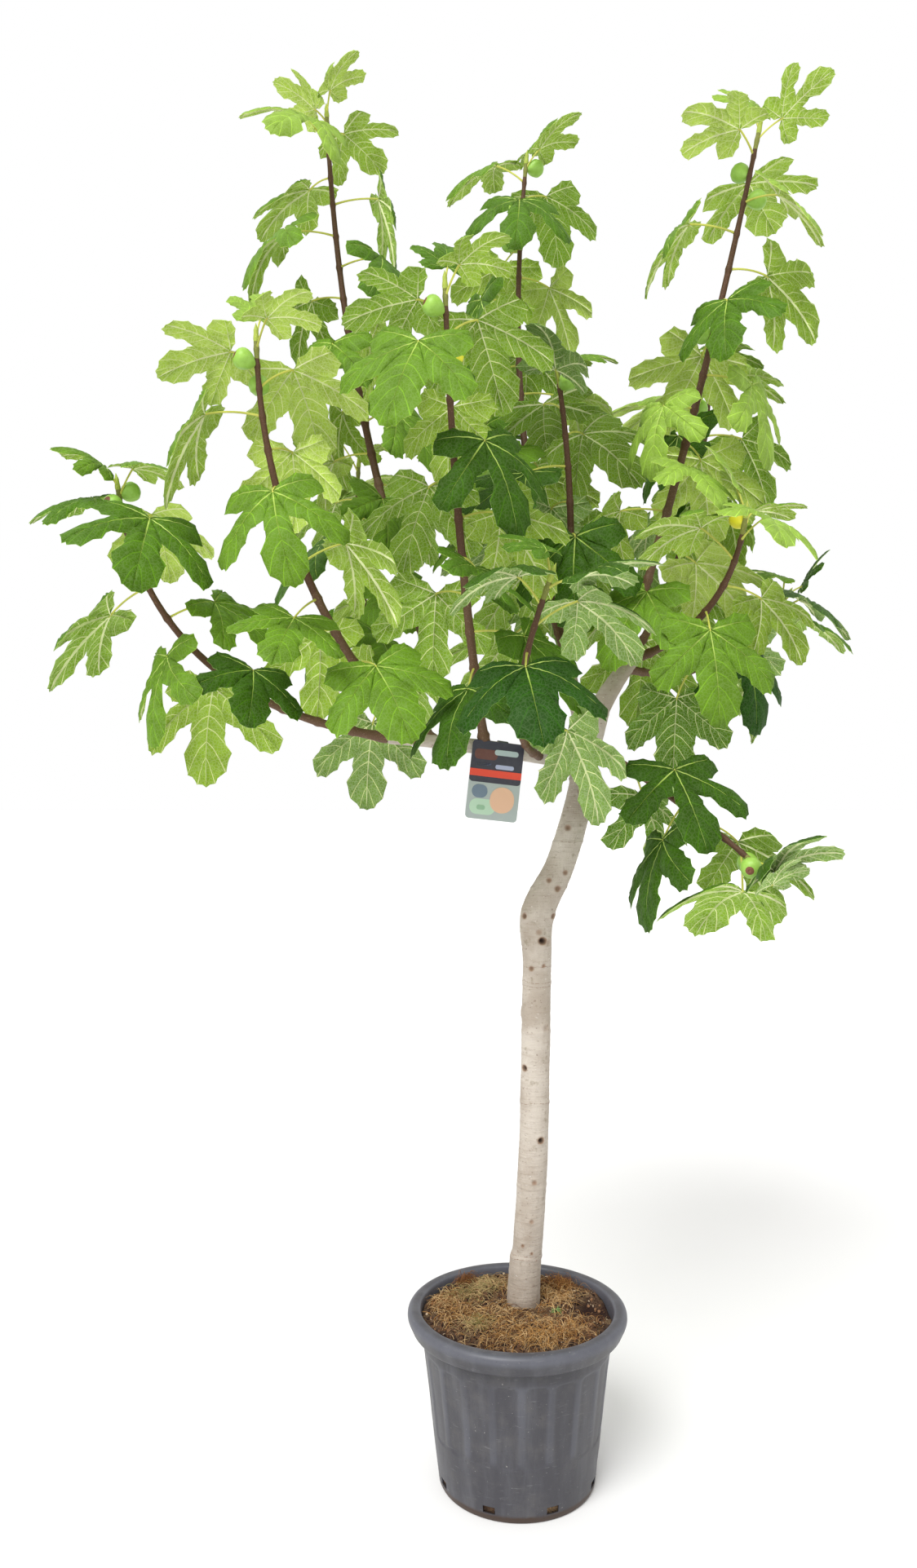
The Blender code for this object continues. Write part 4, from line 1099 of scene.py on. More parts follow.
label_middle, label_radius, label_axes = label_place()
strap_inner = (label_radius + STRAP_GAP) / math.cos(math.pi / STRAP_SIDES)
card_front = -strap_inner - 1.4 * LABEL_THICKNESS
card_foot = LABEL_RISE - LABEL_HEIGHT
card = rounded_plate(
    "label_card", LABEL_SHIFT - LABEL_WIDTH / 2, card_foot, LABEL_WIDTH, LABEL_HEIGHT, LABEL_CORNER,
    card_front, LABEL_THICKNESS, printed("pale_grey_card", (176, 186, 186)),
)
inks = []
for i, ink in enumerate(INKS):
    proud = INK_LIFT * (1 + i % 3)
    left = LABEL_SHIFT + (ink.left - 0.5) * LABEL_WIDTH
    low = LABEL_RISE - LABEL_HEIGHT * (1 - ink.low)
    inks.append(rounded_plate(
        f"label_ink_{i}", left, low, ink.wide * LABEL_WIDTH, ink.high * LABEL_HEIGHT, ink.corner,
        card_front - proud, proud + INK_LIFT, printed(f"ink_{i}", ink.colour),
    ))
select_only(card, *inks)
bpy.ops.object.join()
hang = label_axes @ Matrix.Rotation(LABEL_TILT, 3, "Y")
card.data.transform(Matrix.Translation(label_middle) @ hang.to_4x4())
corners, faces = [], []
for i in range(STRAP_SIDES):
    angle = 2 * math.pi * i / STRAP_SIDES
    for reach in (strap_inner, strap_inner + LABEL_THICKNESS):
        for x in (-STRAP_WIDTH / 2, STRAP_WIDTH / 2):
            spot = Vector((x, reach * math.cos(angle), reach * math.sin(angle)))
            corners.append(label_middle + label_axes @ spot)
    a, b = 4 * i, 4 * ((i + 1) % STRAP_SIDES)
    faces += [(a, a + 1, b + 1, b), (a + 2, b + 2, b + 3, a + 3)]
    faces += [(a, b, b + 2, a + 2), (a + 1, a + 3, b + 3, b + 1)]
strap = joined_mesh("label_strap", corners, faces, [printed("strap_card", (66, 68, 82))])
select_only(strap)
bpy.ops.object.mode_set(mode="EDIT")
bpy.ops.mesh.select_all(action="SELECT")
bpy.ops.mesh.normals_make_consistent(inside=False)
bpy.ops.object.mode_set(mode="OBJECT")
for piece in (card, strap):
    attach(piece, "root")
    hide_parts("plant_label")


# Leaves: thin rough blades with five lobes, each on a long pale stalk that leaves the shoot a
# golden turn round from the last. Ribs stand proud underneath and show pale on top, the blade
# quilts up between them, young leaves at the tips stand up small and fresh and old ones hang.
GROWING = 3
GOLDEN_TURN = math.radians(137.5)
LEAF_LENGTH = 0.175
YOUNG_SHARE = 0.55
STALK_SHARE = 0.50
STALK_WIDTH = 0.0036
LEAF_THICKNESS = 0.0025
LEAF_HUB = 0.25
LEAF_FOLD = 0.12
CURL_ACROSS = 1.1
CURL_ALONG = 0.7
STALK_FACES = 5
LEAF_RIM = (
    ((0.42, -0.15), (0, 0)),
    ((0.47, 0.20), (-0.12, 0)),
    ((0.63, 0.38), (0, 0)),
    ((0.55, 0.67), (0, 0)),
    ((0.32, 0.54), (-0.16, -0.14)),
    ((0.24, 0.80), (0, 0)),
)
LEAN = (math.radians(28), math.radians(50))
SAG = (0.05, 0.25)
DROOP = (math.radians(-42), math.radians(97))
LOBING = (0.65, 0.35)
CURL = (0.50, 0.25)
Stray = namedtuple("Stray", "turn lean length stalk yaw droop roll")
STRAY = Stray(
    turn=math.radians(22), lean=math.radians(8), length=0.16, stalk=0.12,
    yaw=math.radians(28), droop=math.radians(24), roll=math.radians(30),
)
LEAF_SPARE = 0.0008
LEAF_REACH = 1.3
UPRIGHT_SHOOT = 0.15
UPRIGHT_STALK = 0.20
TURNS = tuple(math.radians(a) for a in (0, 24, -24, 48, -48, 75, -75, 105, -105))
TRUNK_SIDES = 12
TRUNK_STEPS = 2
LIMB_SIDES = 8
BOUGH_STEPS = 5
GUARD_STEPS = 10
FIG_RADIUS = 0.0195
FIG_LENGTH = 1.12
FIG_PROFILE = ((0, -1), (0.6, -0.72), (1, 0.1), (0.72, 0.76), (0, 1))
FIG_SIDES = 6
FIG_TURN = math.radians(50)
FIG_LEAN = 0.45
FIG_SINK = 0.95
Leaf = namedtuple("Leaf", "node foot joint side along face length lobing curl")


def trunk_tube(grow=0.0):
    points, radii = smooth_line(TRUNK, TRUNK_STEPS)
    headings = [UP, *(b - a for a, b in zip(points, points[2:])), points[-1] - points[-2]]
    return tube(points, radii, TRUNK_SIDES, headings, grow)


def bough_tube(bough, grow=0.0):
    points = bent_line(bough.foot, bough.knee, bough.tip, BOUGH_STEPS)
    return tube(points, taper(bough.thick, bough.thin, BOUGH_STEPS), LIMB_SIDES, grow=grow)


def shoot_tube(shoot, start, end, count, sides, grow=0.0):
    """The shoot between two shares of its length, its ends square to the shoot."""
    line = shoot_line(shoot)
    whole = line_length(line)
    shares = taper(start, end, count)
    places = [place_on(line, share * whole) for share in shares]
    radii = [shoot_radius(shoot, share) for share in shares]
    return tube([point for point, _ in places], radii, sides, [ahead for _, ahead in places], grow)


def leaf_outline(lobing, neck):
    """The blade's outline for a length of 1, from the stalk round its five lobes and back to the
    stalk. Deeper lobing draws the four bays between the lobes in, and neck is half the stalk."""
    right = ((neck, 0), *((x + dx * lobing, y + dy * lobing) for (x, y), (dx, dy) in LEAF_RIM))
    left = tuple((-x, y) for x, y in reversed(right))
    return (*right, (0, 1), *left)


def leaf_point(leaf, x, y):
    """A place on the blade, curled down towards its rim and folded up a little along its midrib."""
    curl = CURL_ACROSS * x * x + CURL_ALONG * max(0.0, y - LEAF_HUB) ** 2
    bend = LEAF_FOLD * abs(x) - leaf.curl * curl
    return leaf.joint + leaf.length * (x * leaf.side + y * leaf.along + bend * leaf.face)


def leaf_shape(leaf, spare=0.0):
    """Corners and faces of a leaf as one closed plate, with its stalk as the last five faces. Each
    side of the blade is a fan round a hub on its midrib, and the stalk meets it in a mitre."""
    half = LEAF_THICKNESS / 2 + spare
    neck = STALK_WIDTH / 2 + spare
    outline = leaf_outline(leaf.lobing, neck / leaf.length)
    count = len(outline)
    middles = [leaf_point(leaf, x, y) for x, y in outline]
    stalk = (leaf.joint - leaf.foot).normalized()
    across = (leaf.side - stalk * stalk.dot(leaf.side)).normalized()
    above = across.cross(stalk)
    mitre = (leaf.face + above) / (1 + leaf.face.dot(above))
    lifts = [mitre if i in (0, count - 1) else leaf.face for i in range(count)]
    corners = [p + half * lift for p, lift in zip(middles, lifts)]
    corners += [p - half * lift for p, lift in zip(middles, lifts)]
    corners += [leaf_point(leaf, 0, LEAF_HUB) + side * half * leaf.face for side in (1, -1)]
    for side in (1, -1):
        corners += [leaf.foot + end * neck * across + side * half * above for end in (1, -1)]
    faces = [(2 * count, i, (i + 1) % count) for i in range(count)]
    faces += [(2 * count + 1, count + (i + 1) % count, count + i) for i in range(count)]
    faces += [(i, count + i, count + i + 1, i + 1) for i in range(count - 1)]
    top = (0, count - 1, 2 * count + 3, 2 * count + 2)
    bottom = (count, 2 * count - 1, 2 * count + 5, 2 * count + 4)
    faces += [top, bottom]
    faces += [(top[i], bottom[i], bottom[j], top[j]) for i, j in ((0, 3), (1, 2))]
    faces.append((top[2], top[3], bottom[3], bottom[2]))
    return corners, faces


def leaf_at(shoot, line, whole, node, distance, draws, turn, phase):
    """The leaf of one node. draws holds its seeded numbers, from -1 to 1."""
    point, ahead = place_on(line, whole - distance)
    age = min(1.0, node / AGEING)
    angle = phase + node * GOLDEN_TURN + STRAY.turn * draws[0] + turn
    across = ahead.cross(UP)
    if across.length < UPRIGHT_SHOOT:
        across = ahead.cross(Vector((0, 1, 0)))
    across.normalize()
    out = math.cos(angle) * across + math.sin(angle) * across.cross(ahead)
    lean = LEAN[0] + LEAN[1] * age + STRAY.lean * draws[1]
    stalk = out * math.sin(lean) + ahead * math.cos(lean) - UP * (SAG[0] + SAG[1] * age)
    stalk.normalize()
    grown = YOUNG_SHARE + (1 - YOUNG_SHARE) * min(1, node / GROWING)
    length = LEAF_LENGTH * grown * (1 + STRAY.length * draws[2])
    joint = point + stalk * length * (STALK_SHARE + STRAY.stalk * draws[3])
    flat = Vector((stalk.x, stalk.y, 0))
    if flat.length < UPRIGHT_STALK:
        flat = Vector((out.x, out.y, 0))
    flat = Matrix.Rotation(STRAY.yaw * draws[4], 3, "Z") @ flat.normalized()
    droop = DROOP[0] + DROOP[1] * age + STRAY.droop * draws[5]
    along = flat * math.cos(droop) - UP * math.sin(droop)
    face = (UP - along * along.z).normalized()
    roll = Matrix.Rotation(STRAY.roll * draws[6], 3, along)
    lobing = LOBING[0] + LOBING[1] * draws[7]
    curl = CURL[0] + CURL[1] * draws[8]
    side = roll @ along.cross(face)
    return Leaf(node, point, joint, side, along, roll @ face, length, lobing, curl)


def bounds_tree(*shapes):
    """One search tree over several shapes, each given as corners and faces."""
    corners, faces = [], []
    for points, sides in shapes:
        gather(corners, faces, points, sides)
    return BVHTree.FromPolygons(corners, faces)


def grow_leaves(shoot, limbs, own_stem, taken):
    """The shoot's leaves from its tip down. A leaf that would touch a limb or a taken leaf is
    turned round the stem, and it is skipped where no turn is free."""
    rule = random.Random(shoot.seed)
    phase = rule.uniform(0, 2 * math.pi)
    line = shoot_line(shoot)
    whole = line_length(line)
    leaves, distance, node = [], FIRST_NODE, 0
    while distance < whole * (1 - shoot.bare) - YOUNG_GAP:
        draws = [rule.uniform(-1, 1) for _ in range(9)]
        for turn in TURNS:
            leaf = leaf_at(shoot, line, whole, node, distance, draws, turn, phase)
            corners, faces = leaf_shape(leaf, LEAF_SPARE)
            whole_leaf = bounds_tree((corners, faces))
            reach = leaf.length * LEAF_REACH
            near = [tree for place, far, tree in taken if (place - leaf.joint).length < reach + far]
            if any(tree.overlap(whole_leaf) for tree in (*limbs, *near)):
                continue
            if own_stem.overlap(bounds_tree((corners, faces[:-STALK_FACES]))):
                continue
            leaves.append(leaf)
            taken.append((leaf.joint, reach, whole_leaf))
            break
        distance += YOUNG_GAP + (OLD_GAP - YOUNG_GAP) * min(1.0, node / AGEING)
        node += 1
    return leaves


def fig_place(shoot, leaf):
    """Centre and axis of the fig that sits above a leaf's stalk."""
    line = shoot_line(shoot)
    whole = line_length(line)
    nearest = min(range(len(line)), key=lambda i: (line[i] - leaf.foot).length)
    ahead = (line[min(nearest + 1, LINE_STEPS)] - line[max(nearest - 1, 0)]).normalized()
    out = leaf.joint - leaf.foot
    out = (out - ahead * out.dot(ahead)).normalized()
    axis = (Matrix.Rotation(FIG_TURN, 3, ahead) @ out + FIG_LEAN * ahead).normalized()
    radius = shoot_radius(shoot, 1 - (leaf.foot - line[-1]).length / whole)
    return leaf.foot + axis * (radius + FIG_RADIUS * FIG_LENGTH * FIG_SINK), axis


def turned(profile, sides):
    """Corners and faces of a profile of radius and height, from axis to axis, turned about +Z."""
    corners, faces, rings = [], [], []
    for radius, height in profile:
        if radius == 0:
            rings.append([len(corners)])
            corners.append(Vector((0, 0, height)))
            continue
        rings.append(list(range(len(corners), len(corners) + sides)))
        for j in range(sides):
            angle = 2 * math.pi * j / sides
            corners.append(Vector((radius * math.cos(angle), radius * math.sin(angle), height)))
    for low, high in zip(rings, rings[1:]):
        for j in range(sides):
            a, b = low[j % len(low)], low[(j + 1) % len(low)]
            c, d = high[(j + 1) % len(high)], high[j % len(high)]
            faces.append(tuple(dict.fromkeys((a, b, c, d))))
    return corners, faces


def fig_shape(centre, axis, spare=0.0):
    """Corners and faces of a fig whose eye points along the axis."""
    radius = FIG_RADIUS + spare
    profile = [(r * radius, h * radius * FIG_LENGTH) for r, h in FIG_PROFILE]
    corners, faces = turned(profile, FIG_SIDES)
    turn = axis.to_track_quat("Z", "Y").to_matrix()
    return [centre + turn @ corner for corner in corners], faces


def box_shape(low, high):
    corners = [
        Vector((x, y, z)) for z in (low.z, high.z) for y in (low.y, high.y) for x in (low.x, high.x)
    ]
    faces = [(0, 2, 3, 1), (4, 5, 7, 6), (0, 1, 5, 4), (2, 6, 7, 3), (0, 4, 6, 2), (1, 3, 7, 5)]
    return corners, faces


def label_keep_out():
    """A box round the card and the air in front of it, which leaves stay out of."""
    middle, radius, axes = label_place()
    half = LABEL_WIDTH / 2
    low = Vector((-half, -radius - LABEL_VIEW, LABEL_GUARD[0]))
    high = Vector((half, -radius + 3 * LABEL_THICKNESS, LABEL_GUARD[1]))
    corners, faces = box_shape(low, high)
    return [middle + axes @ c for c in corners], faces


def obstacles():
    """Search trees for the limbs, and one for each shoot's own stem."""
    fixed = [trunk_tube(LEAF_SPARE)]
    fixed += [bough_tube(bough, LEAF_SPARE) for bough in MAIN_BOUGHS.values()]
    fixed.append(label_keep_out())
    stems = {
        name: bounds_tree(shoot_tube(shoot, 0, 1, GUARD_STEPS, LIMB_SIDES, LEAF_SPARE))
        for name, shoot in SHOOTS.items()
    }
    return bounds_tree(*fixed), stems


def grow_shoot(shoot, limbs, own_stem, taken):
    """The shoot's leaves and figs, which join the taken shapes. A fig that would touch a limb or
    another shoot's shape is left out."""
    others = [*limbs, *(tree for _, _, tree in taken)]
    leaves = grow_leaves(shoot, limbs, own_stem, taken)
    figs = []
    for leaf in leaves:
        if leaf.node in shoot.figs:
            centre, axis = fig_place(shoot, leaf)
            guard = bounds_tree(fig_shape(centre, axis, LEAF_SPARE))
            if not any(tree.overlap(guard) for tree in others):
                figs.append((centre, axis))
                taken.append((centre, FIG_RADIUS * LEAF_REACH, guard))
    return leaves, figs


# Leaves that have dropped from before the label, each by its shoot and its place from the tip.
DROPPED = (("front_low", 5), ("front_low", 7))


def plan_crown():
    """Every shoot's leaves and figs, shoot by shoot, in the order in which they take space."""
    fixed, stems = obstacles()
    taken, crown = [], {}
    for name, shoot in SHOOTS.items():
        limbs = [fixed, *(tree for other, tree in stems.items() if other != name)]
        crown[name] = grow_shoot(shoot, limbs, stems[name], taken)
    for name, (leaves, _) in crown.items():
        leaves[:] = [leaf for leaf in leaves if (name, leaf.node) not in DROPPED]
    return crown


BLADE_THICKNESS = 0.0007
RIB_HALF = (0.0095, 0.0036)
RIB_DEPTH = (0.0080, 0.0030)
SIDE_RIB_HALF = 0.0060
SIDE_RIB_DEPTH = 0.0028
QUILTING = 0.0115
LOBE_ROLL = 0.024
TEETH = (0.013, -0.007)
VEIN_BOW = 0.10
ROWS = (0.36, 0.70, 1.0)
WAVES = 7

# Places on the right half of a blade of length 1. Each is given for an unlobed and for a deeply
# lobed leaf.
Half = namedtuple("Half", "shallow deep")
BAY_HIGH = Half((0.32, 0.54), (0.125, 0.345))
BAY_LOW = Half((0.47, 0.20), (0.30, 0.135))
MIDDLE_TIP = Half((0.0, 1.0), (0.0, 1.0))
SIDE_TIP = Half((0.66, 0.545), (0.66, 0.56))
BASE_TIP = Half((0.47, -0.13), (0.47, -0.12))
NECK = Half((0.012, -0.002), (0.012, -0.002))

# A field of the blade lies between a main rib and the rim. It has the bay that it starts at (None
# at the stalk), the rim's points from there up to the tip, and its side ribs: those below the bay
# as shares of the main rib, and those above it as shares of the main rib and of the rim.
Field = namedtuple("Field", "tip bay rim low_veins veins")
FIELDS = (
    Field(
        MIDDLE_TIP, BAY_HIGH,
        (Half((0.28, 0.66), (0.135, 0.50)), Half((0.27, 0.78), (0.225, 0.70)),
         Half((0.19, 0.89), (0.185, 0.87)), Half((0.085, 0.965), (0.085, 0.965))),
        (0.09, 0.19), ((0.32, 0.13), (0.45, 0.36), (0.59, 0.59), (0.74, 0.80)),
    ),
    Field(
        SIDE_TIP, BAY_HIGH,
        (Half((0.42, 0.60), (0.25, 0.385)), Half((0.48, 0.645), (0.365, 0.515)),
         Half((0.57, 0.665), (0.49, 0.605)), Half((0.64, 0.625), (0.60, 0.605))),
        (0.10, 0.22), ((0.36, 0.13), (0.50, 0.36), (0.63, 0.59), (0.78, 0.80)),
    ),
    Field(
        SIDE_TIP, BAY_LOW,
        (Half((0.54, 0.24), (0.45, 0.235)), Half((0.62, 0.33), (0.61, 0.335)),
         Half((0.68, 0.44), (0.685, 0.46))),
        (0.10, 0.22), ((0.36, 0.16), (0.52, 0.42), (0.70, 0.70)),
    ),
    Field(
        BASE_TIP, BAY_LOW,
        (Half((0.515, 0.11), (0.40, 0.10)), Half((0.54, 0.01), (0.495, 0.03)),
         Half((0.515, -0.07), (0.51, -0.06))),
        (0.12, 0.28), ((0.46, 0.20), (0.70, 0.58)),
    ),
    Field(
        BASE_TIP, None,
        (Half((0.09, -0.08), (0.07, -0.075)), Half((0.21, -0.15), (0.18, -0.14)),
         Half((0.34, -0.195), (0.31, -0.185)), Half((0.43, -0.185), (0.41, -0.175))),
        (), ((0.22, 0.26), (0.46, 0.54), (0.70, 0.80)),
    ),
)
LOW_RIM = (0.36, 0.77)


def rim_curve(points, share):
    """A place on the smooth curve through the points, at a share of it."""
    points = [2 * points[0] - points[1], *points, 2 * points[-1] - points[-2]]
    at = min(share, 1.0) * (len(points) - 3)
    i = min(int(at), len(points) - 4)
    s = at - i
    a, b, c, d = points[i : i + 4]
    square, cube = 2 * a - 5 * b + 4 * c - d, 3 * b - a - 3 * c + d
    return 0.5 * (2 * b + (c - a) * s + square * s**2 + cube * s**3)


def field_columns(field):
    """The field's columns, from the stalk to the lobe's tip: share of the main rib, place on the
    far side (0 to 1 along the bay's line, 1 to 2 along the rim) and kind: 1 starts a side rib, 2
    ends it, 0 lies between."""
    half = SIDE_RIB_HALF
    ribs = [(a, b, 1.0) for a, b in zip(field.low_veins, LOW_RIM)]
    ribs += [(a, 1 + b, 0.7) for a, b in field.veins]
    start = (0.0, 0.0) if field.bay else (0.0, 1.0)
    columns, last = [(*start, 0)], start
    for i, (a, b, thin) in enumerate(ribs):
        crosses_bay = field.bay and last[1] < 1 < b
        if crosses_bay:
            columns.append(((last[0] + a) / 2, 1.0, 0))
        else:
            shares = (0.5,) if i == 0 else (0.36, 0.64)
            columns += [
                (last[0] + (a - last[0]) * s, last[1] + (b - last[1]) * s, 0) for s in shares
            ]
        columns += [(a - half, b - half * thin * 1.6, 1), (a + half, b + half * thin * 1.6, 2)]
        last = (a, b)
    columns += [((last[0] + 1) / 2, (last[1] + 2) / 2, 0), (1.0, 2.0, 0)]
    return columns


def field_grid(field, pick):
    """The field's corners, one list for each column, on the shallow or the deep outline."""
    tip = np.array(pick(field.tip))
    bay = np.array(pick(field.bay)) if field.bay else np.array(pick(NECK))
    rim = [bay, *(np.array(pick(point)) for point in field.rim), tip]
    grid = []
    for a, b, _ in field_columns(field):
        near = tip * a
        far = bay * b if b <= 1 and field.bay else rim_curve(rim, b - 1)
        span = max(float(np.hypot(*(far - near))), 1e-6)
        half = RIB_HALF[0] + (RIB_HALF[1] - RIB_HALF[0]) * a
        edge = min(0.30, half / span)
        back = -tip / np.hypot(*tip) * span * VEIN_BOW
        shares = [0.0, edge] + [edge + (1 - edge) * row for row in ROWS]
        grid.append([
            near * (1 - s) + far * s + back * (4 * s * (1 - s)) * (s > edge) for s in shares
        ])
    return np.array(grid)


def leaf_template():
    """The blade of length 1: corners for both outlines, what each corner does, faces and their
    kinds (0 blade, 1 main rib, 2 side rib), with the left half mirrored from the right."""
    shallow, deep, duty, faces, kinds = [], [], [], [], []
    for side in (1, -1):
        for number, field in enumerate(FIELDS):
            columns = field_columns(field)
            grids = [field_grid(field, pick) for pick in (lambda h: h.shallow, lambda h: h.deep)]
            for store, grid in zip((shallow, deep), grids):
                store += [(side * x, y) for column in grid for x, y in column]
            start = len(duty)
            for a, b, kind in columns:
                for row in range(5):
                    far_out = row / 4
                    main = (1.0 - a) if row == 0 else 0.0
                    on_rib = 1.0 if kind and 0 < row < 4 else (0.5 if kind and row == 4 else 0.0)
                    swell = 0.0 if kind or row in (0, 4) else (0.35, 1.0, 0.8)[row - 1]
                    toothed = row == 4 and b > 1.001 and a < 0.99
                    tooth = TEETH[0 if kind else 1] if toothed else 0.0
                    which = number + (side < 0) * 10
                    duty.append((main, on_rib, swell, tooth, far_out, row == 0, which))
            for c in range(len(columns) - 1):
                for row in range(4):
                    i = start + c * 5 + row
                    quad = (i, i + 5, i + 6, i + 1)
                    kind = 1 if row == 0 else (2 if columns[c][2] == 1 else 0)
                    faces.append(quad)
                    kinds.append(kind)
    shallow, deep, duty = np.array(shallow), np.array(deep), np.array(duty)
    middle = (shallow + deep) / 2
    _, first, index = np.unique(np.round(middle, 5), axis=0, return_index=True, return_inverse=True)
    index = index.reshape(-1)
    whole, whole_kinds = [], []
    for face, kind in zip(faces, kinds):
        ring = list(dict.fromkeys(int(index[k]) for k in face))
        if len(ring) < 3:
            continue
        flat = middle[first][ring]
        turn = np.roll(flat, -1, axis=0)
        if (flat[:, 0] * turn[:, 1] - flat[:, 1] * turn[:, 0]).sum() < 0:
            ring.reverse()
        whole.append(tuple(ring))
        whole_kinds.append(kind)
    return shallow[first], deep[first], duty[first], whole, whole_kinds


def rim_of(faces):
    """The template's open edges, each in its face's direction."""
    seen = {}
    for face in faces:
        for a, b in zip(face, face[1:] + face[:1]):
            seen[(a, b)] = seen.get((a, b), 0) + 1
    return [(a, b) for a, b in seen if (b, a) not in seen]


SHALLOW, DEEP, DUTY, BLADE_FACES, BLADE_KINDS = leaf_template()
RIM = rim_of(BLADE_FACES)
FLANK = np.zeros(SHALLOW.shape)
for a, b in RIM:
    step = (SHALLOW[b] + DEEP[b] - SHALLOW[a] - DEEP[a]) / 2
    outward = np.array((step[1], -step[0])) / max(float(np.hypot(*step)), 1e-9)
    FLANK[a] += outward
    FLANK[b] += outward
FLANK /= np.maximum(np.hypot(FLANK[:, 0], FLANK[:, 1]), 1e-9)[:, None]


def blade(leaf, rule):
    """Corners of the leaf's two skins, upper first."""
    flat = SHALLOW + (DEEP - SHALLOW) * leaf.lobing
    main, on_rib, swell, tooth, far_out = DUTY[:, :5].T
    jitter = np.array([rule.uniform(0.3, 1.6) for _ in range(len(flat))])
    flat = flat + FLANK * (tooth * jitter)[:, None]
    x, y = flat.T
    lean = rule.uniform(-0.05, 0.05)
    wide = x * (1 + rule.uniform(-0.05, 0.06) * np.sign(x)) + lean * y * y
    x, y = wide, y + rule.uniform(-0.05, 0.05) * x
    bend = LEAF_FOLD * np.abs(x)
    bend -= leaf.curl * (CURL_ACROSS * x * x + CURL_ALONG * np.maximum(0, y - LEAF_HUB) ** 2)
    clear = np.minimum(1, np.hypot(x, y) * 3)
    bend += QUILTING * swell + LOBE_ROLL * np.sin(math.pi * far_out) * clear
    phase = rule.uniform(0, 6.3)
    waves = rule.uniform(0.006, 0.024)
    ripple = np.sin(WAVES * np.arctan2(y - LEAF_HUB, x) + phase)
    bend += waves * far_out**2 * ripple * clear
    level = np.outer(x, leaf.side) + np.outer(y, leaf.along)
    middle = leaf.length * (level + np.outer(bend, leaf.face)) + np.array(leaf.joint)
    face = np.array(leaf.face)
    depth = np.where(DUTY[:, 5] > 0, RIB_DEPTH[1] + (RIB_DEPTH[0] - RIB_DEPTH[1]) * main, 0.0)
    depth = (depth + SIDE_RIB_DEPTH * on_rib * (1 - 0.5 * far_out)) * leaf.length
    upper = middle + np.outer(BLADE_THICKNESS / 2 - depth * 0.12, face)
    lower = middle - np.outer(BLADE_THICKNESS / 2 + depth, face)
    return np.concatenate([upper, lower])


# The colours of the blade: upper side, underside, and the ribs on each. The undersides are paler,
# as a fig leaf's are, and brightened further as a painted glow for light shining through the blade.
# A shoot's own middle and the leaf's age choose among them.
UPPER = (
    ("deep_green", (34, 72, 8)), ("dark_olive", (52, 88, 8)), ("mid_green", (74, 112, 18)),
    ("warm_green", (98, 136, 32)), ("fresh_green", (138, 172, 62)),
)
UNDER_AND_PAINTED_GLOW = (
    ("under_deep", (104, 144, 44)), ("under_grey", (138, 172, 86)), ("under_mid", (142, 180, 58)),
    ("under_olive", (160, 194, 66)), ("under_lime", (188, 216, 92)),
)
RIBS = (
    ("upper_rib", (192, 214, 116)), ("under_rib", (246, 250, 200)),
    ("under_side_rib", (238, 246, 178)),
)
SIDE_RIB_GAIN = 1.22


def leaf_net_group():
    """Shader group: the net of fine veins and the rough grain of a fig leaf, as a height, how rough
    the surface is, where the veins run and where the green is cloudy."""
    tree = bpy.data.node_groups.new("leaf_net", "ShaderNodeTree")
    tree.interface.new_socket("Cell", in_out="INPUT", socket_type="NodeSocketFloat")
    for name in ("Height", "Roughness", "Veins", "Cloud"):
        tree.interface.new_socket(name, in_out="OUTPUT", socket_type="NodeSocketFloat")
    entry = node(tree, "NodeGroupInput")
    place = node(tree, "ShaderNodeTexCoord").outputs["Object"]
    net = node(tree, "ShaderNodeTexVoronoi", feature="DISTANCE_TO_EDGE", Vector=place,
               Scale=entry.outputs["Cell"])
    between = remap(tree, net.outputs["Distance"], 0.0, 0.16)
    grain = node(tree, "ShaderNodeTexNoise", Vector=place, Scale=700.0, Detail=3.0).outputs["Fac"]
    cloud = node(tree, "ShaderNodeTexNoise", Vector=place, Scale=24.0, Detail=3.0).outputs["Fac"]
    leave = node(tree, "NodeGroupOutput")
    for name, value in (
        ("Height", maths(tree, "ADD", between, share_of(tree, grain, 0.7))),
        ("Roughness", remap(tree, cloud, 0.0, 1.0, out=(0.36, 0.66), smooth=False)),
        ("Veins", maths(tree, "SUBTRACT", 1.0, between)),
        ("Cloud", remap(tree, cloud, 0.40, 0.66)),
    ):
        tree.links.new(value, leave.inputs[name])
    return tree


LEAF_NET = leaf_net_group()
NET_CELL = 150.0
GRAIN_DEPTH = 0.0007


def leaf_finish(name, colour, strength, specular, veins=0.0):
    """A leaf's finish. veins says how pale its net of fine veins is."""
    made, shader = finish(name, srgb(*colour), 0.55, specular)
    tree = made.node_tree
    net = node(tree, "ShaderNodeGroup", node_tree=LEAF_NET, Cell=NET_CELL)
    deeper = [c * 0.80 for c in colour]
    paler = [c + (255 - c) * 0.40 for c in colour]
    patchy = coated(tree, srgb(*colour), (deeper, net.outputs["Cloud"], 0.6),
                    (paler, net.outputs["Veins"], veins))
    tree.links.new(patchy, shader.inputs["Base Color"])
    tree.links.new(net.outputs["Roughness"], shader.inputs["Roughness"])
    bump(tree, shader, net.outputs["Height"], strength, GRAIN_DEPTH)
    return made


leaf_finishes = [leaf_finish(name, colour, 0.40, 0.10, veins=0.14) for name, colour in UPPER]
leaf_finishes += [leaf_finish(name, colour, 0.40, 0.06, veins=0.50) for name, colour in UNDER_AND_PAINTED_GLOW]
for name, colour in UPPER:
    rib_colour = [min(255, c * SIDE_RIB_GAIN + 6) for c in colour]
    leaf_finishes.append(leaf_finish(name + "_side_rib", rib_colour, 0.2, 0.1))
leaf_finishes += [leaf_finish(name, colour, 0.20, 0.1) for name, colour in RIBS]

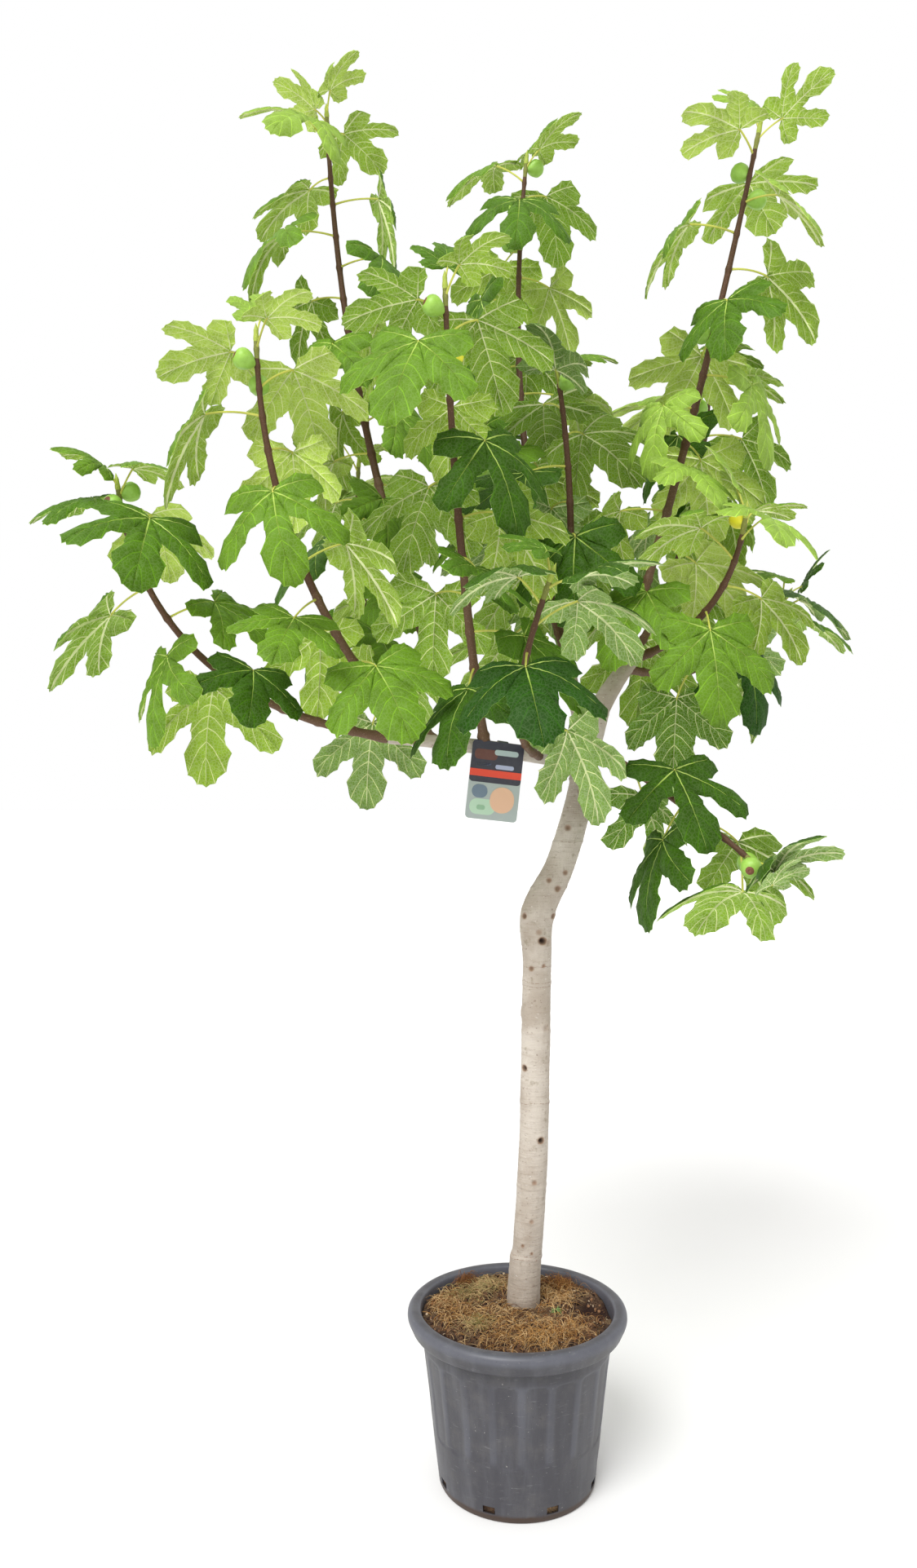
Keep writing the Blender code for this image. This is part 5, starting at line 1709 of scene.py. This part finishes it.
# How fresh the green of each shoot is, from 0 for the first of UPPER to 4 for the last. It is
# partly
# painted light and shade: shoots where the crown lies in shade take darker greens and shoots in
# brighter light take fresher ones.
FRESHNESS_AND_PAINTED_LIGHT = {
    "left_low": 2.7, "left_mid": 4.0, "front_tall": 2.3, "front_low": 0.7, "right_tall": 3.5,
    "left_tall": 3.0, "right_mid": 3.5, "right_low": 1.3, "centre_mid": 2.0, "back_tall": 3.2,
    "back_right": 2.6, "back_left": 2.5, "back_mid": 1.7, "back_low": 1.5,
}
STALK_TAPER = (1.7, 1.3, 1.2, 1.15, 1.1, 1.1, 1.1, 1.15, 1.2, 0.6)


def leaf_tint(name, leaf, rule):
    """The place of a leaf's colour in the lists, from its shoot and its age."""
    shade = FRESHNESS_AND_PAINTED_LIGHT[name] + 1.1 * (1 - min(1, leaf.node / 6)) - 0.5 + rule.uniform(-1.1, 1.1)
    return int(min(len(UPPER) - 1, max(0, round(shade))))


crown = plan_crown()
stalk_corners, stalk_faces = [], []
for number, (name, (leaves, _)) in enumerate(crown.items()):
    rule = random.Random(100 + number)
    corners, faces, kinds = [], [], []
    for leaf in leaves:
        start = 2 * len(SHALLOW) * len(corners)
        shade = leaf_tint(name, leaf, rule)
        corners.append(blade(leaf, rule))
        faces += [tuple(start + k for k in face) for face in BLADE_FACES]
        below = start + len(SHALLOW)
        faces += [tuple(below + k for k in (face[0], *reversed(face[1:]))) for face in BLADE_FACES]
        faces += [(start + a, below + a, below + b, start + b) for a, b in RIM]
        ribs = 3 * len(UPPER)
        kinds += [(shade, ribs, 2 * len(UPPER) + shade)[kind] for kind in BLADE_KINDS]
        kinds += [(len(UPPER) + shade, ribs + 1, ribs + 2)[kind] for kind in BLADE_KINDS]
        kinds += [len(UPPER) + shade] * len(RIM)
        sag = UP * leaf.length * 0.035
        ends = (leaf.foot, leaf.foot.lerp(leaf.joint, 0.5) + sag, leaf.joint)
        arch = bent_line(*ends, 8)
        arch.append(leaf.joint + leaf.along * leaf.length * 0.03 - leaf.face * 0.0012)
        widths = [STALK_WIDTH / 2 * w for w in STALK_TAPER]
        gather(stalk_corners, stalk_faces, *tube(arch, widths, 6))
    if leaves:
        made = joined_mesh("leaves_" + name, np.concatenate(corners), faces, leaf_finishes, kinds)
        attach(made, "root")
        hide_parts("foliage_" + name)
stalk_green = leaf_finish("stalk_green", (206, 208, 96), 0.2, 0.3)
stalks = joined_mesh("leaf_stalks", stalk_corners, stalk_faces, [stalk_green])
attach(stalks, "root")
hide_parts(*("foliage_" + name for name in SHOOTS))


# Figs: firm green fruit, pear-shaped, one to a leaf's foot. A short neck holds each to the shoot,
# faint ribs run from the neck, and a small scaly eye closes the far end.
FRUIT_SIDES = 20
FRUIT_PROFILE = (
    (0.13, -1.06), (0.15, -0.98), (0.22, -0.90), (0.42, -0.76), (0.68, -0.52),
    (0.88, -0.22), (0.99, 0.08), (1.00, 0.34), (0.90, 0.60), (0.68, 0.82),
    (0.40, 0.94), (0.20, 0.965), (0.15, 0.985), (0.11, 0.955),
)
FRUIT_RIBS = 0.018
FRUIT_COLOURS = (
    ("fig_green", (146, 190, 76)), ("fig_olive", (170, 200, 84)), ("fig_yellow", (236, 228, 48)),
)
EYE_COLOUR = (128, 84, 62)
EYE_RINGS = 4
YELLOW_FIGS = {("front_tall", 4), ("right_mid", 0)}

fruit_finishes = []
for name, colour in FRUIT_COLOURS:
    made, shader = finish(name, srgb(*colour), 0.42, specular=0.4)
    tree = made.node_tree
    pores = blotches(tree, place_of(tree), 520.0, 0.62, 0.70)
    bloom = blotches(tree, place_of(tree), 60.0, 0.40, 0.70)
    pale = tuple(min(255, c + 34) for c in colour)
    mixed = coated(tree, srgb(*colour), (pale, bloom.outputs["Mask"], 0.45),
                   ((206, 214, 160), pores.outputs["Mask"], 0.7))
    tree.links.new(mixed, shader.inputs["Base Color"])
    bump(tree, shader, bloom.outputs["Height"], 0.25, 0.001)
    fruit_finishes.append(made)
fruit_finishes.append(leaf_finish("fig_eye", EYE_COLOUR, 0.5, 0.3))
corners, faces, kinds = [], [], []
for name, (leaves, figs) in crown.items():
    for centre, axis in figs:
        bearer = min(leaves, key=lambda leaf: (leaf.foot - centre).length)
        kind = 2 if (name, bearer.node) in YELLOW_FIGS else (len(corners) // 7) % 2
        turn = axis.to_track_quat("Z", "Y").to_matrix()
        points = []
        for radius, height in FRUIT_PROFILE:
            for j in range(FRUIT_SIDES):
                angle = 2 * math.pi * j / FRUIT_SIDES
                rib = FRUIT_RIBS * math.cos(angle * FRUIT_SIDES / 2) * (radius > 0.3)
                wide = FIG_RADIUS * radius * (1 + rib)
                along = height * FIG_RADIUS * FIG_LENGTH
                spot = Vector((wide * math.cos(angle), wide * math.sin(angle), along))
                points.append(centre + turn @ spot)
        gather(corners, faces, points, tube_faces(len(FRUIT_PROFILE), FRUIT_SIDES))
        for ring in range(len(FRUIT_PROFILE) - 1):
            kinds += [3 if ring >= len(FRUIT_PROFILE) - EYE_RINGS else kind] * FRUIT_SIDES
        kinds += [kind, 3]
fruit = joined_mesh("figs", corners, faces, fruit_finishes, kinds)
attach(fruit, "root")
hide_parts(*("foliage_" + name for name, (_, figs) in crown.items() if figs))
